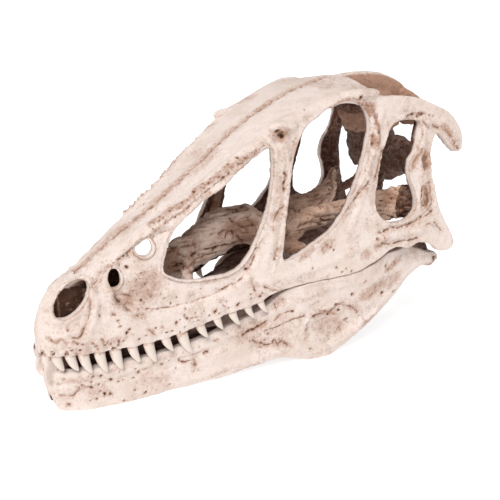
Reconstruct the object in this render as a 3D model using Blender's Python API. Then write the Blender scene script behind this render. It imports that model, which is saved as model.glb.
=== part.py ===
"""A life-size raptor dinosaur skull (a large dromaeosaur) with its jaws closed.

The skull is laid out in skull lengths: x runs back from the snout tip, y is sideways (the animal's left is -y)
and z is up from the surface it lies on.  Each side wall is drawn flat, as a plate with its openings and
thickened bars, then bent onto the plan of the skull; walls, roof and palate shelf are fused into one body, which
thin sutures part into the named bones.  Everything is made for the left side and mirrored to the right.
"""

import math

import bmesh
import bpy
import numpy as np
from mathutils import Vector

SKULL_LENGTH = 0.410  # snout tip to the rear corner of the cheek, in metres
GAP = 0.0003  # clear space in a suture, in metres
VOXEL = 0.0021  # grain of the fused bone, in metres
SHELL_TRIANGLES = 2950  # of the fused skull before the sutures part it
JAW_TRIANGLES = 380  # of the left half of the lower jaw

# ---------------------------------------------------------------- plan and profile, in skull lengths
NOSE_START, NOSE_REACH = 0.080, 0.082  # where the snout starts to round off, and how far that runs
CHIN_START, CHIN_REACH = 0.100, 0.088
PINCH, PINCH_HEIGHT = 0.024, 0.090  # how far the top of the snout is drawn in, and over what height
PINCH_FADE = (0.30, 0.50)  # the pinch dies out between these x
JAW_INSET = 0.835  # the lower jaw's width as a share of the skull's
JAW_LEAN = [(0.0, -0.10), (0.47, -0.10), (0.58, 0.04), (0.76, 0.04), (0.90, -0.10)]  # how far it leans out, at x
WALL = 0.018  # thickness of the side wall
PROUD = 0.003  # how far the wall's bars stand out of its face
ROOF = 0.020  # thickness of the skull roof
SHELF = 0.012  # thickness of the bony palate in the snout
CROWN = [(0.70, 0.006), (0.76, 0.018), (0.80, 0.036)]  # how far the roof's midline stands above its edges, at x


def blunt(x, start, reach):
    """The share of the full width that a rounded tip leaves at x."""
    step = np.clip((start - x) / reach, 0.0, 0.995)
    return np.sqrt(1.0 - step * step)


def wedge(x):
    """Half the skull's width at the level of the floor."""
    return 0.057 + 0.246 * x - 0.081 * x * x


def skull_half_width(x, z):
    """Half the skull's width: a long wedge, narrower towards the top, and drawn in along the top of the snout."""
    fade = np.clip((x - PINCH_FADE[0]) / (PINCH_FADE[1] - PINCH_FADE[0]), 0.0, 1.0)
    high = np.clip(1.0 - (0.222 + 0.64 * x - z) / PINCH_HEIGHT, 0.0, 1.0)
    pinch = PINCH * (1.0 - fade * fade * (3.0 - 2.0 * fade)) * high * high
    return (wedge(x) - 0.097 * z - pinch) * blunt(x, NOSE_START, NOSE_REACH)


def jaw_half_width(x, z):
    """Half the lower jaw's width: inside the teeth, leaning inwards towards the top, but not under the cheek."""
    lean = np.interp(x, *zip(*JAW_LEAN))
    return (JAW_INSET * wedge(x) + lean * z) * blunt(x, CHIN_START, CHIN_REACH)


MIDLINE = [  # profile of the roof along the midline, from the lip to the back of the frontals
    (0.002, 0.145), (0.001, 0.175), (0.008, 0.210), (0.021, 0.240), (0.040, 0.264), (0.068, 0.279),
    (0.100, 0.290), (0.150, 0.324), (0.200, 0.355), (0.250, 0.380), (0.300, 0.411), (0.400, 0.477),
    (0.500, 0.546), (0.600, 0.594), (0.700, 0.625), (0.790, 0.637),
]  # fmt: skip

SKULL_SIDE = [  # outline of the side wall: lip and cheek, cheek corner, hook, roof edge, nose
    (0.004, 0.128), (0.030, 0.126), (0.080, 0.127), (0.150, 0.126), (0.220, 0.129), (0.280, 0.137),
    (0.340, 0.150), (0.400, 0.163), (0.460, 0.174), (0.500, 0.189), (0.560, 0.197), (0.640, 0.199),
    (0.720, 0.204), (0.780, 0.223), (0.830, 0.246), (0.870, 0.238), (0.905, 0.246), (0.940, 0.236),
    (0.970, 0.214), (0.995, 0.212), (1.016, 0.224), (1.010, 0.248), (0.992, 0.280), (0.974, 0.315),
    (0.957, 0.358), (0.947, 0.400), (0.943, 0.440), (0.946, 0.475), (0.957, 0.501), (0.973, 0.499),
    (0.990, 0.480), (1.010, 0.460), (1.034, 0.454), (1.045, 0.474), (1.035, 0.510), (1.010, 0.543),
    (0.970, 0.566), (0.920, 0.586), (0.860, 0.599), (0.800, 0.601), (0.752, 0.618), (0.690, 0.616),
    (0.620, 0.592), (0.550, 0.565), (0.500, 0.540), (0.450, 0.506), (0.400, 0.471), (0.350, 0.437),
    (0.300, 0.404), (0.250, 0.373), (0.200, 0.348), (0.150, 0.317), (0.100, 0.284), (0.068, 0.273),
    (0.040, 0.258), (0.020, 0.236), (0.008, 0.208), (0.002, 0.176), (0.002, 0.150),
]  # fmt: skip

ANTORBITAL_OPENING = [
    (0.256, 0.277), (0.275, 0.259), (0.310, 0.249), (0.360, 0.247), (0.408, 0.253), (0.442, 0.279),
    (0.466, 0.315), (0.489, 0.360), (0.504, 0.410), (0.513, 0.460), (0.513, 0.505), (0.496, 0.520),
    (0.470, 0.502), (0.440, 0.474), (0.402, 0.439), (0.354, 0.411), (0.305, 0.374), (0.279, 0.347),
    (0.266, 0.318),
]  # fmt: skip
ORBIT = [
    (0.528, 0.262), (0.560, 0.266), (0.605, 0.286), (0.652, 0.312), (0.685, 0.346), (0.712, 0.390),
    (0.735, 0.440), (0.752, 0.490), (0.763, 0.530), (0.758, 0.566), (0.735, 0.591), (0.703, 0.600),
    (0.668, 0.592), (0.630, 0.568), (0.598, 0.549), (0.577, 0.515), (0.561, 0.470), (0.551, 0.420),
    (0.541, 0.370), (0.532, 0.310),
]  # fmt: skip
TEMPORAL_OPENING = [
    (0.855, 0.306), (0.883, 0.317), (0.896, 0.345), (0.888, 0.378), (0.874, 0.412), (0.877, 0.446),
    (0.900, 0.474), (0.914, 0.505), (0.908, 0.534), (0.880, 0.543), (0.846, 0.542), (0.822, 0.524),
    (0.806, 0.490), (0.793, 0.450), (0.782, 0.405), (0.775, 0.360), (0.787, 0.327), (0.818, 0.308),
]  # fmt: skip
NOSTRIL = dict(middle=(0.068, 0.241), radii=(0.046, 0.0185), turn=46.0)
MAXILLARY_OPENING = dict(middle=(0.222, 0.329), radii=(0.0185, 0.0175), turn=80.0)
PROMAXILLARY_OPENING = dict(middle=(0.155, 0.273), radii=(0.0200, 0.0125), turn=80.0)

JAW_SIDE = [  # outline of the lower jaw: chin, lower edge, jaw joint, upper edge
    (0.016, 0.082), (0.018, 0.045), (0.024, 0.008), (0.037, -0.001), (0.080, -0.003), (0.140, -0.004),
    (0.200, -0.001), (0.260, 0.004), (0.330, 0.007), (0.400, 0.010), (0.460, 0.017), (0.520, 0.022),
    (0.560, 0.013), (0.600, -0.001), (0.630, -0.005), (0.665, 0.003), (0.710, 0.024), (0.760, 0.054),
    (0.810, 0.087), (0.860, 0.121), (0.905, 0.156), (0.940, 0.172), (0.972, 0.166), (0.992, 0.174),
    (1.000, 0.187), (0.990, 0.200), (0.966, 0.204), (0.940, 0.215), (0.900, 0.230), (0.860, 0.229),
    (0.820, 0.226), (0.785, 0.214), (0.740, 0.203), (0.680, 0.197), (0.620, 0.194), (0.570, 0.190),
    (0.530, 0.171), (0.478, 0.141), (0.420, 0.129), (0.370, 0.116), (0.320, 0.105), (0.250, 0.095),
    (0.160, 0.089), (0.080, 0.086), (0.030, 0.084),
]  # fmt: skip

# Bars that thicken the walls: (x, z, radius)
SKULL_BARS = [
    [(0.020, 0.150, 0.016), (0.090, 0.146, 0.017), (0.180, 0.146, 0.017), (0.280, 0.156, 0.016),
     (0.370, 0.176, 0.015), (0.460, 0.198, 0.015)],  # edge that carries the teeth
    [(0.440, 0.218, 0.015), (0.540, 0.226, 0.015), (0.640, 0.236, 0.018), (0.740, 0.262, 0.019),
     (0.830, 0.276, 0.017), (0.920, 0.276, 0.021), (0.985, 0.240, 0.015)],  # cheek
    [(0.548, 0.545, 0.016), (0.537, 0.490, 0.015), (0.529, 0.430, 0.014), (0.519, 0.370, 0.015),
     (0.502, 0.310, 0.017), (0.480, 0.250, 0.018)],  # before the eye
    [(0.800, 0.572, 0.019), (0.784, 0.525, 0.016), (0.768, 0.470, 0.015), (0.750, 0.410, 0.016),
     (0.725, 0.350, 0.018), (0.690, 0.285, 0.019)],  # behind the eye
    [(0.770, 0.596, 0.017), (0.830, 0.575, 0.020), (0.890, 0.567, 0.020), (0.945, 0.553, 0.021)],
    [(0.930, 0.555, 0.022), (0.975, 0.540, 0.020), (1.005, 0.515, 0.017), (1.023, 0.480, 0.013)],
    [(0.933, 0.545, 0.019), (0.920, 0.490, 0.019), (0.909, 0.435, 0.020), (0.920, 0.380, 0.020),
     (0.932, 0.320, 0.021), (0.940, 0.262, 0.021)],  # quadrate
    [(0.120, 0.288, 0.010), (0.200, 0.338, 0.011), (0.320, 0.408, 0.012), (0.430, 0.482, 0.014),
     (0.540, 0.545, 0.016)],  # edge of the snout's roof
    [(0.540, 0.552, 0.014), (0.610, 0.578, 0.013), (0.690, 0.603, 0.013), (0.770, 0.595, 0.016)],
]  # fmt: skip
JAW_BARS = [
    [(0.026, 0.080, 0.015), (0.034, 0.040, 0.019), (0.054, 0.022, 0.019)],  # chin
    [(0.034, 0.072, 0.016), (0.160, 0.074, 0.017), (0.300, 0.084, 0.016), (0.450, 0.116, 0.015),
     (0.560, 0.160, 0.016), (0.690, 0.176, 0.016), (0.840, 0.170, 0.015), (0.960, 0.186, 0.016)],
    [(0.040, 0.020, 0.017), (0.200, 0.018, 0.016), (0.400, 0.027, 0.015), (0.520, 0.039, 0.015),
     (0.630, 0.016, 0.016), (0.740, 0.060, 0.016), (0.860, 0.141, 0.016), (0.945, 0.186, 0.016)],
]  # fmt: skip

# Bosses that stand out of the wall: (x, z) of the middle, and how far each reaches along, out of the face and up
SKULL_BOSSES = [
    (0.540, 0.556, 0.042, 0.017, 0.011),  # on the lacrimal, before the eye
    (0.742, 0.611, 0.050, 0.013, 0.012),  # on the postorbital, behind the eye
]

# Teeth of one side: x of the root, x and z of the tip, and the root's radius along the row
PREMAXILLARY_TEETH = [
    (0.012, 0.014, 0.097, 0.0105), (0.028, 0.038, 0.092, 0.0115), (0.052, 0.064, 0.090, 0.0115),
    (0.077, 0.090, 0.080, 0.0120),
]  # fmt: skip
MAXILLARY_TEETH = [
    (0.109, 0.121, 0.077, 0.0120), (0.141, 0.152, 0.078, 0.0130), (0.176, 0.190, 0.086, 0.0115),
    (0.211, 0.224, 0.080, 0.0125), (0.247, 0.262, 0.098, 0.0115), (0.284, 0.303, 0.086, 0.0135),
    (0.325, 0.341, 0.114, 0.0115), (0.364, 0.377, 0.126, 0.0100), (0.400, 0.417, 0.129, 0.0105),
    (0.436, 0.452, 0.139, 0.0100), (0.468, 0.484, 0.146, 0.0095),
]  # fmt: skip
TOOTH_SIDES, TOOTH_RINGS = 6, 2
TOOTH_DEPTH = 0.0075  # how far inside the wall's face the teeth stand
GUM_LINE = [(0.000, 0.128), (0.200, 0.128), (0.300, 0.141), (0.400, 0.163), (0.480, 0.179)]  # edge they leave
SOCKET_DEPTH = 0.012  # how far their roots go up into the bone

# Sutures of the left side wall: a line of points (x, z), how far in the cut reaches, and how far it drops by then
SKULL_SUTURES = [
    ([(0.0935, 0.100), (0.088, 0.165), (0.098, 0.245), (0.085, 0.258)], 0.066, 0.0),
    ([(0.086, 0.264), (0.125, 0.283), (0.200, 0.333), (0.300, 0.391), (0.400, 0.456), (0.500, 0.529),
      (0.550, 0.553), (0.612, 0.546)], 0.036, 0.030),
    ([(0.497, 0.503), (0.517, 0.541)], 0.050, 0.0),
    ([(0.410, 0.285), (0.436, 0.245), (0.504, 0.160)], 0.050, 0.0),
    ([(0.448, 0.320), (0.550, 0.290)], 0.050, 0.0),
    ([(0.722, 0.578), (0.800, 0.655)], 0.050, 0.0),
    ([(0.668, 0.345), (0.715, 0.356), (0.802, 0.442)], 0.060, 0.0),
    ([(0.848, 0.515), (0.872, 0.640)], 0.060, 0.0),
    ([(0.896, 0.516), (0.968, 0.490)], 0.070, 0.0),
    ([(0.822, 0.320), (0.808, 0.288), (0.840, 0.262), (0.852, 0.225)], 0.060, 0.0),
    ([(0.850, 0.334), (0.992, 0.322)], 0.060, 0.0),
]  # fmt: skip
JAW_SUTURES = [
    ([(0.415, 0.160), (0.440, 0.120), (0.500, 0.070), (0.520, 0.005)], 0.060, 0.0),
    ([(0.862, 0.250), (0.905, 0.125)], 0.075, 0.0),
]
# Flat cuts through the inside of the skull: two corners, of which one pair of coordinates is equal
INNER_CUTS = [
    ((0.088, -0.070, 0.248), (0.088, 0.070, 0.330)),  # premaxilla from nasals
    ((0.595, -0.140, 0.540), (0.595, 0.140, 0.660)),  # nasals from frontals
    ((0.775, -0.118, 0.520), (0.775, 0.118, 0.680)),  # frontals from parietal
    ((0.800, -0.105, 0.500), (1.060, 0.105, 0.500)),  # parietal from braincase
    ((0.290, -0.060, 0.175), (0.290, 0.060, 0.290)),  # maxillae from palate
    ((0.875, -0.088, 0.280), (0.875, 0.088, 0.375)),  # palate from braincase
    ((0.080, 0.000, 0.140), (0.291, 0.000, 0.310)),  # left maxilla from right
]
LEFT_CUTS = [
    ((0.560, -0.112, 0.200), (0.680, -0.112, 0.300)),  # jugal from palate
    ((0.295, -0.076, 0.165), (0.365, -0.076, 0.260)),  # maxilla from palate
    ((0.840, -0.128, 0.265), (0.975, -0.128, 0.415)),  # quadrate from palate
]
ROOF_CUT = [  # along the midline, between the two nasals and the two frontals
    (0.088, 0, 0.255), (0.088, 0, 0.330), (0.400, 0, 0.520), (0.775, 0, 0.680), (0.775, 0, 0.570),
    (0.600, 0, 0.530), (0.460, 0, 0.440), (0.300, 0, 0.365), (0.200, 0, 0.315),
]  # fmt: skip
CHEEK_CUT = [  # between the parietal and the upper cheek bones on its left
    (0.722, -0.109, 0.500), (0.722, -0.109, 0.578), (0.800, -0.114, 0.655), (1.030, -0.130, 0.655),
    (1.030, -0.130, 0.490),
]  # fmt: skip
LEAST_BONE = 0.010  # a chip smaller than this across, left where cuts cross, is dropped

# A point inside or close to each bone, for naming what the cuts part
MIDDLE_BONES = {
    "premaxilla": (0.020, 0.000, 0.170),
    "parietal": (0.900, 0.000, 0.600),
    "braincase": (0.940, 0.000, 0.420),
    "palate": (0.460, 0.000, 0.320),
}
LEFT_BONES = {
    "maxilla": (0.200, -0.090, 0.180),
    "nasal": (0.400, -0.040, 0.460),
    "lacrimal": (0.530, -0.125, 0.430),
    "frontal": (0.680, -0.050, 0.610),
    "postorbital": (0.775, -0.150, 0.500),
    "squamosal": (1.000, -0.165, 0.530),
    "quadrate": (0.925, -0.160, 0.430),
    "quadratojugal": (0.950, -0.170, 0.260),
    "jugal": (0.650, -0.150, 0.240),
}
LEFT_JAW_BONES = {
    "dentary": (0.200, -0.080, 0.050),
    "surangular": (0.700, -0.140, 0.100),
    "articular": (0.960, -0.160, 0.185),
}
BONE_COLOUR = (0.80, 0.68, 0.60, 1.0)
INNER_COLOUR = (0.42, 0.31, 0.25, 1.0)
INNER_BONES = ("palate", "braincase")


# ---------------------------------------------------------------- shared helpers
def smooth_points(points, closed, per_span=4):
    """Points on a Catmull-Rom curve through the given ones, whatever their number of columns."""
    control = np.array(points, float)
    count = len(control)
    spans = count if closed else count - 1
    found = []
    for span in range(spans):
        around = [span - 1, span, span + 1, span + 2]
        picks = [i % count if closed else min(max(i, 0), count - 1) for i in around]
        before, start, end, after = control[picks]
        for step in range(per_span):
            t = step / per_span
            found.append(
                0.5
                * (
                    2 * start
                    + (end - before) * t
                    + (2 * before - 5 * start + 4 * end - after) * t * t
                    + (3 * start - before - 3 * end + after) * t**3
                )
            )
    if not closed:
        found.append(control[-1])
    return np.array(found)


def ellipse(middle, radii, turn, count=14):
    """Points (x, z) round an ellipse whose long axis is turned from the x axis."""
    angle = math.radians(turn)
    ring = []
    for step in range(count):
        around = 2 * math.pi * step / count
        along, across = radii[0] * math.cos(around), radii[1] * math.sin(around)
        ring.append(
            (
                middle[0] + along * math.cos(angle) - across * math.sin(angle),
                middle[1] + along * math.sin(angle) + across * math.cos(angle),
            )
        )
    return ring


def new_object(name, mesh):
    obj = bpy.data.objects.new(name, mesh)
    bpy.context.scene.collection.objects.link(obj)
    return obj


def mesh_of(points, faces):
    """A mesh from points in skull lengths and faces."""
    mesh = bpy.data.meshes.new("shape")
    mesh.from_pydata([tuple(p) for p in np.asarray(points, float) * SKULL_LENGTH], [], faces)
    return mesh


def coordinates(mesh):
    found = np.empty(len(mesh.vertices) * 3, np.float32)
    mesh.vertices.foreach_get("co", found)
    return found.reshape(-1, 3).astype(float) / SKULL_LENGTH


def set_coordinates(mesh, points):
    mesh.vertices.foreach_set("co", (np.asarray(points) * SKULL_LENGTH).astype(np.float32).ravel())
    mesh.update()


def evaluated(obj):
    """The object's mesh with its modifiers, as a new mesh; the object itself is removed."""
    graph = bpy.context.evaluated_depsgraph_get()
    mesh = bpy.data.meshes.new_from_object(obj.evaluated_get(graph))
    bpy.data.objects.remove(obj)
    return mesh


def plate(outline, holes, outer, inner):
    """A flat slab in the side plane, as points (x, depth, z): an outline with holes, between two depths."""
    curve = bpy.data.curves.new("plate", "CURVE")
    curve.dimensions = "2D"
    curve.fill_mode = "BOTH"
    curve.extrude = (inner - outer) / 2 * SKULL_LENGTH
    for loop in [outline, *holes]:
        points = smooth_points(loop, closed=True)
        spline = curve.splines.new("POLY")
        spline.points.add(len(points) - 1)
        for target, (x, z) in zip(spline.points, points):
            target.co = (x * SKULL_LENGTH, z * SKULL_LENGTH, 0, 1)
        spline.use_cyclic_u = True
    mesh = evaluated(new_object("plate", curve))
    flat = coordinates(mesh)
    set_coordinates(mesh, np.stack([flat[:, 0], (outer + inner) / 2 - flat[:, 2], flat[:, 1]], -1))
    return mesh


def tube(points):
    """A round bar through (x, y, z, radius), with rounded ends."""
    curve = bpy.data.curves.new("tube", "CURVE")
    curve.dimensions = "3D"
    curve.bevel_depth = SKULL_LENGTH
    curve.bevel_resolution = 3
    curve.use_fill_caps = True
    path = smooth_points(points, closed=False)
    spline = curve.splines.new("POLY")
    spline.points.add(len(path) - 1)
    for target, (x, y, z, radius) in zip(spline.points, path):
        target.co = (x * SKULL_LENGTH, y * SKULL_LENGTH, z * SKULL_LENGTH, 1)
        target.radius = radius
    return evaluated(new_object("tube", curve))


def blade(points, up=(0, 0, 1), sides=14):
    """A flattened bar through (x, y, z, height, thickness): its height lies along up as far as the path allows."""
    path = smooth_points(points, closed=False)
    upward = Vector(up)
    rings = []
    for index, row in enumerate(path):
        ahead = Vector(path[min(index + 1, len(path) - 1)][:3])
        behind = Vector(path[max(index - 1, 0)][:3])
        along = (ahead - behind).normalized()
        across = along.cross(upward).normalized()
        tall = across.cross(along).normalized()
        middle = Vector(row[:3])
        for step in range(sides):
            around = 2 * math.pi * step / sides
            rings.append(middle + tall * row[3] * math.cos(around) + across * row[4] * math.sin(around))
    faces = []
    for ring in range(len(path) - 1):
        for step in range(sides):
            following = (step + 1) % sides
            low, high = ring * sides, (ring + 1) * sides
            faces.append((low + step, low + following, high + following, high + step))
    faces.append(tuple(reversed(range(sides))))
    faces.append(tuple(range((len(path) - 1) * sides, len(path) * sides)))
    return mesh_of(rings, faces)


def ball(middle, radii):
    """An ellipsoid."""
    mesh = bpy.data.meshes.new("ball")
    shape = bmesh.new()
    bmesh.ops.create_uvsphere(shape, u_segments=20, v_segments=12, radius=SKULL_LENGTH)
    shape.to_mesh(mesh)
    shape.free()
    set_coordinates(mesh, coordinates(mesh) * np.array(radii) + np.array(middle))
    return mesh


def joined(meshes):
    """Several meshes as one, each still a body of its own."""
    shape = bmesh.new()
    for mesh in meshes:
        shape.from_mesh(mesh)
        bpy.data.meshes.remove(mesh)
    bmesh.ops.recalc_face_normals(shape, faces=shape.faces)
    mesh = bpy.data.meshes.new("joined")
    shape.to_mesh(mesh)
    shape.free()
    return mesh


def fused(meshes, rounding=3):
    """Overlapping closed meshes as one body with soft edges."""
    obj = new_object("fused", joined(meshes))
    remesh = obj.modifiers.new("Fuse", "REMESH")
    remesh.mode = "VOXEL"
    remesh.voxel_size = VOXEL
    if rounding:
        soften = obj.modifiers.new("Soften", "SMOOTH")
        soften.factor = 0.5
        soften.iterations = rounding
    return evaluated(obj)


def thinned(mesh, triangles):
    """The mesh with about this many triangles."""
    obj = new_object("thinned", mesh)
    mesh.calc_loop_triangles()
    decimate = obj.modifiers.new("Thin", "DECIMATE")
    decimate.ratio = min(1.0, triangles / len(mesh.loop_triangles))
    decimate.use_collapse_triangulate = True
    return evaluated(obj)


def bent(mesh, half_width):
    """A flat wall, with its depths, laid on the left side of the plan."""
    flat = coordinates(mesh)
    set_coordinates(
        mesh,
        np.stack([flat[:, 0], flat[:, 1] - half_width(flat[:, 0], flat[:, 2]), flat[:, 2]], -1),
    )
    return mesh


def sliced(mesh, point, normal):
    """The part of a closed mesh on the far side of a plane, closed again."""
    shape = bmesh.new()
    shape.from_mesh(mesh)
    bmesh.ops.bisect_plane(
        shape,
        geom=[*shape.verts, *shape.edges, *shape.faces],
        dist=1e-6,
        plane_co=Vector(point) * SKULL_LENGTH,
        plane_no=Vector(normal),
        clear_inner=True,
    )
    rim = [edge for edge in shape.edges if edge.is_boundary]
    bmesh.ops.holes_fill(shape, edges=rim, sides=0)
    bmesh.ops.triangulate(shape, faces=[face for face in shape.faces if len(face.verts) > 4])
    bmesh.ops.recalc_face_normals(shape, faces=shape.faces)
    shape.to_mesh(mesh)
    shape.free()
    return mesh


def left_half(mesh):
    """The mesh up to half a suture's gap from the midline."""
    return sliced(mesh, (0, -GAP / 2 / SKULL_LENGTH, 0), (0, -1, 0))


def combined(mesh, other, operation):
    """A Boolean of two closed meshes. The other mesh is used up."""
    obj = new_object("base", mesh)
    tool = new_object("tool", other)
    boolean = obj.modifiers.new("Join", "BOOLEAN")
    boolean.operation = operation
    boolean.object = tool
    found = evaluated(obj)
    bpy.data.objects.remove(tool)
    return found


def mirrored(mesh):
    """The same shape on the right side."""
    copy = mesh.copy()
    set_coordinates(copy, coordinates(copy) * np.array((1, -1, 1)))
    copy.flip_normals()
    return copy


# ---------------------------------------------------------------- walls, roof and inner bones
def wall(outline, openings, bars, bosses, half_width):
    """The left wall of the skull or jaw: a plate with its openings, bars and bosses, laid on the plan's curve."""
    parts = [plate(outline, openings, 0.0, WALL)]
    parts += [ball((x, 0.0, z), reach) for x, z, *reach in bosses]
    for bar in bars:
        parts.append(tube([(x, radius - PROUD, z, radius) for x, z, radius in bar]))
    return bent(fused(parts, rounding=0), half_width)


def roof():
    """The roof of the snout and brow: a low arch between the two walls."""
    profile = smooth_points(MIDLINE, closed=False, per_span=2)
    columns = 13
    points, faces = [], []
    for layer in (0.0, -ROOF):
        for x, z in profile:
            width = float(skull_half_width(x, z)) - WALL * 0.4
            crown = float(np.interp(x, *zip(*CROWN)))
            for column in range(columns):
                side = 2 * column / (columns - 1) - 1
                points.append((x, side * width, z - crown * side**2 + layer))
    rows = len(profile)
    sheet = rows * columns
    for row in range(rows - 1):
        for column in range(columns - 1):
            corner = row * columns + column
            quad = (corner, corner + 1, corner + columns + 1, corner + columns)
            faces += [quad, tuple(sheet + index for index in reversed(quad))]
    rim = [*range(columns - 1), *(row * columns + columns - 1 for row in range(rows - 1))]
    rim += [*range(sheet - 1, sheet - columns, -1), *(row * columns for row in range(rows - 1, 0, -1))]
    for here, there in zip(rim, rim[1:] + rim[:1]):
        faces.append((there, here, sheet + here, sheet + there))
    return mesh_of(points, faces)


def snout_floor():
    """The bony palate between the tooth rows, rising backwards, and the solid tip of the snout."""
    edge = [(x, 0.006 - float(skull_half_width(x, 0.17))) for x in np.linspace(0.006, 0.285, 12)]
    outline = edge + [(x, -y) for x, y in reversed(edge)]
    count = len(outline)
    points = [(x, y, 0.168 + 0.10 * x + layer) for layer in (0.0, SHELF) for x, y in outline]
    faces = [tuple(reversed(range(count))), tuple(range(count, 2 * count))]
    faces += [(i, (i + 1) % count, count + (i + 1) % count, count + i) for i in range(count)]
    return [mesh_of(points, faces), ball((0.022, 0.0, 0.172), (0.020, 0.022, 0.040))]


def rear_roof():
    """The back of the skull: the crest, the walls of the temporal pits and the crests that run to the cheeks."""
    shapes = [
        blade([(0.735, 0, 0.606, 0.028, 0.100), (0.765, 0, 0.606, 0.031, 0.060), (0.805, 0, 0.605, 0.036, 0.024),
               (0.870, 0, 0.606, 0.036, 0.022), (0.920, 0, 0.602, 0.034, 0.024), (0.985, 0, 0.578, 0.030, 0.032)]),
        ball((0.900, 0, 0.535), (0.088, 0.058, 0.068)),
    ]  # fmt: skip
    for side in (-1, 1):
        shapes += [
            blade([(0.768, side * 0.030, 0.596, 0.032, 0.026), (0.768, side * 0.080, 0.590, 0.032, 0.022),
                   (0.786, side * 0.134, 0.588, 0.024, 0.020)]),
            blade([(0.985, side * 0.005, 0.560, 0.044, 0.016), (0.980, side * 0.060, 0.550, 0.040, 0.015),
                   (0.962, side * 0.110, 0.545, 0.034, 0.015), (0.945, side * 0.150, 0.545, 0.028, 0.016)]),
        ]  # fmt: skip
    return shapes


def braincase():
    """The braincase under the crest, with its wings, its ball joint for the neck and its struts to the palate."""
    shapes = [
        ball((0.905, 0, 0.478), (0.068, 0.048, 0.078)),
        ball((0.968, 0, 0.422), (0.060, 0.078, 0.058)),
        ball((1.024, 0, 0.405), (0.018, 0.020, 0.018)),
    ]
    for side in (-1, 1):
        shapes += [
            blade([(0.955, side * 0.020, 0.450, 0.036, 0.016), (0.962, side * 0.062, 0.428, 0.034, 0.012),
                   (0.958, side * 0.098, 0.412, 0.032, 0.010), (0.952, side * 0.119, 0.402, 0.028, 0.009)]),
            blade([(0.935, side * 0.012, 0.400, 0.022, 0.014), (0.905, side * 0.034, 0.362, 0.016, 0.012),
                   (0.862, side * 0.066, 0.335, 0.014, 0.012)]),
        ]  # fmt: skip
    return shapes


def palate():
    """The roof of the mouth: a deep keel from the snout's floor, parting into two arches that reach the quadrates."""
    shapes = [
        blade([(0.262, 0, 0.205, 0.022, 0.022), (0.330, 0, 0.262, 0.040, 0.020), (0.400, 0, 0.288, 0.046, 0.024),
               (0.460, 0, 0.312, 0.050, 0.030), (0.520, 0, 0.310, 0.044, 0.030), (0.580, 0, 0.285, 0.026, 0.040)]),
    ]  # fmt: skip
    for side in (-1, 1):
        shapes += [
            blade([(0.540, side * 0.010, 0.275, 0.022, 0.034), (0.610, side * 0.034, 0.285, 0.024, 0.030),
                   (0.680, side * 0.048, 0.315, 0.026, 0.024), (0.760, side * 0.058, 0.318, 0.026, 0.018),
                   (0.840, side * 0.085, 0.324, 0.038, 0.012), (0.918, side * 0.150, 0.339, 0.044, 0.012)]),
            blade([(0.560, side * 0.030, 0.272, 0.020, 0.024), (0.600, side * 0.080, 0.262, 0.018, 0.022),
                   (0.620, side * 0.138, 0.245, 0.018, 0.020)]),
            blade([(0.360, side * 0.004, 0.268, 0.018, 0.016), (0.330, side * 0.050, 0.232, 0.016, 0.014),
                   (0.330, side * 0.100, 0.205, 0.016, 0.014)]),
        ]  # fmt: skip
    return shapes


def tooth(root_x, tip_x, tip_z, radius):
    """One curved blade-like tooth of the left row, with its root up in the bone."""
    root_z = float(np.interp(root_x, *zip(*GUM_LINE))) + SOCKET_DEPTH
    root = Vector((root_x, TOOTH_DEPTH - float(skull_half_width(root_x, root_z)), root_z))
    tip = Vector((tip_x, TOOTH_DEPTH - float(skull_half_width(tip_x, tip_z)), tip_z))
    bow = Vector((root_x - 0.002, root.y - 0.003, (root_z + tip_z) / 2))
    points, faces = [], []
    for ring in range(TOOTH_RINGS + 1):
        t = ring / (TOOTH_RINGS + 1)
        middle = root * (1 - t) ** 2 + bow * 2 * t * (1 - t) + tip * t * t
        size = radius * (1 - t * t) ** 0.7
        for step in range(TOOTH_SIDES):
            around = 2 * math.pi * step / TOOTH_SIDES
            points.append(middle + Vector((size * math.cos(around), 0.62 * size * math.sin(around), 0)))
    points.append(tip)
    faces.append(tuple(range(TOOTH_SIDES)))
    for ring in range(TOOTH_RINGS):
        for step in range(TOOTH_SIDES):
            low, following = ring * TOOTH_SIDES, (step + 1) % TOOTH_SIDES
            faces.append((low + step, low + TOOTH_SIDES + step, low + TOOTH_SIDES + following, low + following))
    last = TOOTH_RINGS * TOOTH_SIDES
    faces += [(last + step, last + TOOTH_SIDES, last + (step + 1) % TOOTH_SIDES) for step in range(TOOTH_SIDES)]
    return mesh_of(points, faces)


# ---------------------------------------------------------------- sutures and named bones
def ribbon(line, reach, drop, half_width):
    """A thin sheet that parts a wall along a line, from outside it to a depth inside it, dropping on the way in."""
    path = np.array(line)
    outside = -0.03
    corners = []
    for index, (x, z) in enumerate(path):
        along = path[min(index + 1, len(path) - 1)] - path[max(index - 1, 0)]
        side = np.array((-along[1], along[0])) / np.linalg.norm(along) * GAP / SKULL_LENGTH / 2
        face = float(half_width(x, z))
        for depth in (outside, reach):
            for sign in (1, -1):
                low = z + sign * side[1] - drop * depth / reach
                corners.append((x + sign * side[0], depth - face, low))
    faces = [(0, 2, 3, 1)]
    for index in range(len(path) - 1):
        a, b = 4 * index, 4 * index + 4
        faces += [(a, b, b + 2, a + 2), (a + 1, a + 3, b + 3, b + 1)]
        faces += [(a, a + 1, b + 1, b), (a + 2, b + 2, b + 3, a + 3)]
    last = 4 * (len(path) - 1)
    faces.append((last, last + 1, last + 3, last + 2))
    return mesh_of(corners, faces)


def pane(low, high):
    """A thin flat box between two corners that share one coordinate."""
    mesh = bpy.data.meshes.new("pane")
    shape = bmesh.new()
    bmesh.ops.create_cube(shape, size=SKULL_LENGTH)
    shape.to_mesh(mesh)
    shape.free()
    low, high = np.array(low), np.array(high)
    span = np.maximum(high - low, GAP / SKULL_LENGTH)
    set_coordinates(mesh, coordinates(mesh) * span + (low + high) / 2)
    return mesh


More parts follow.
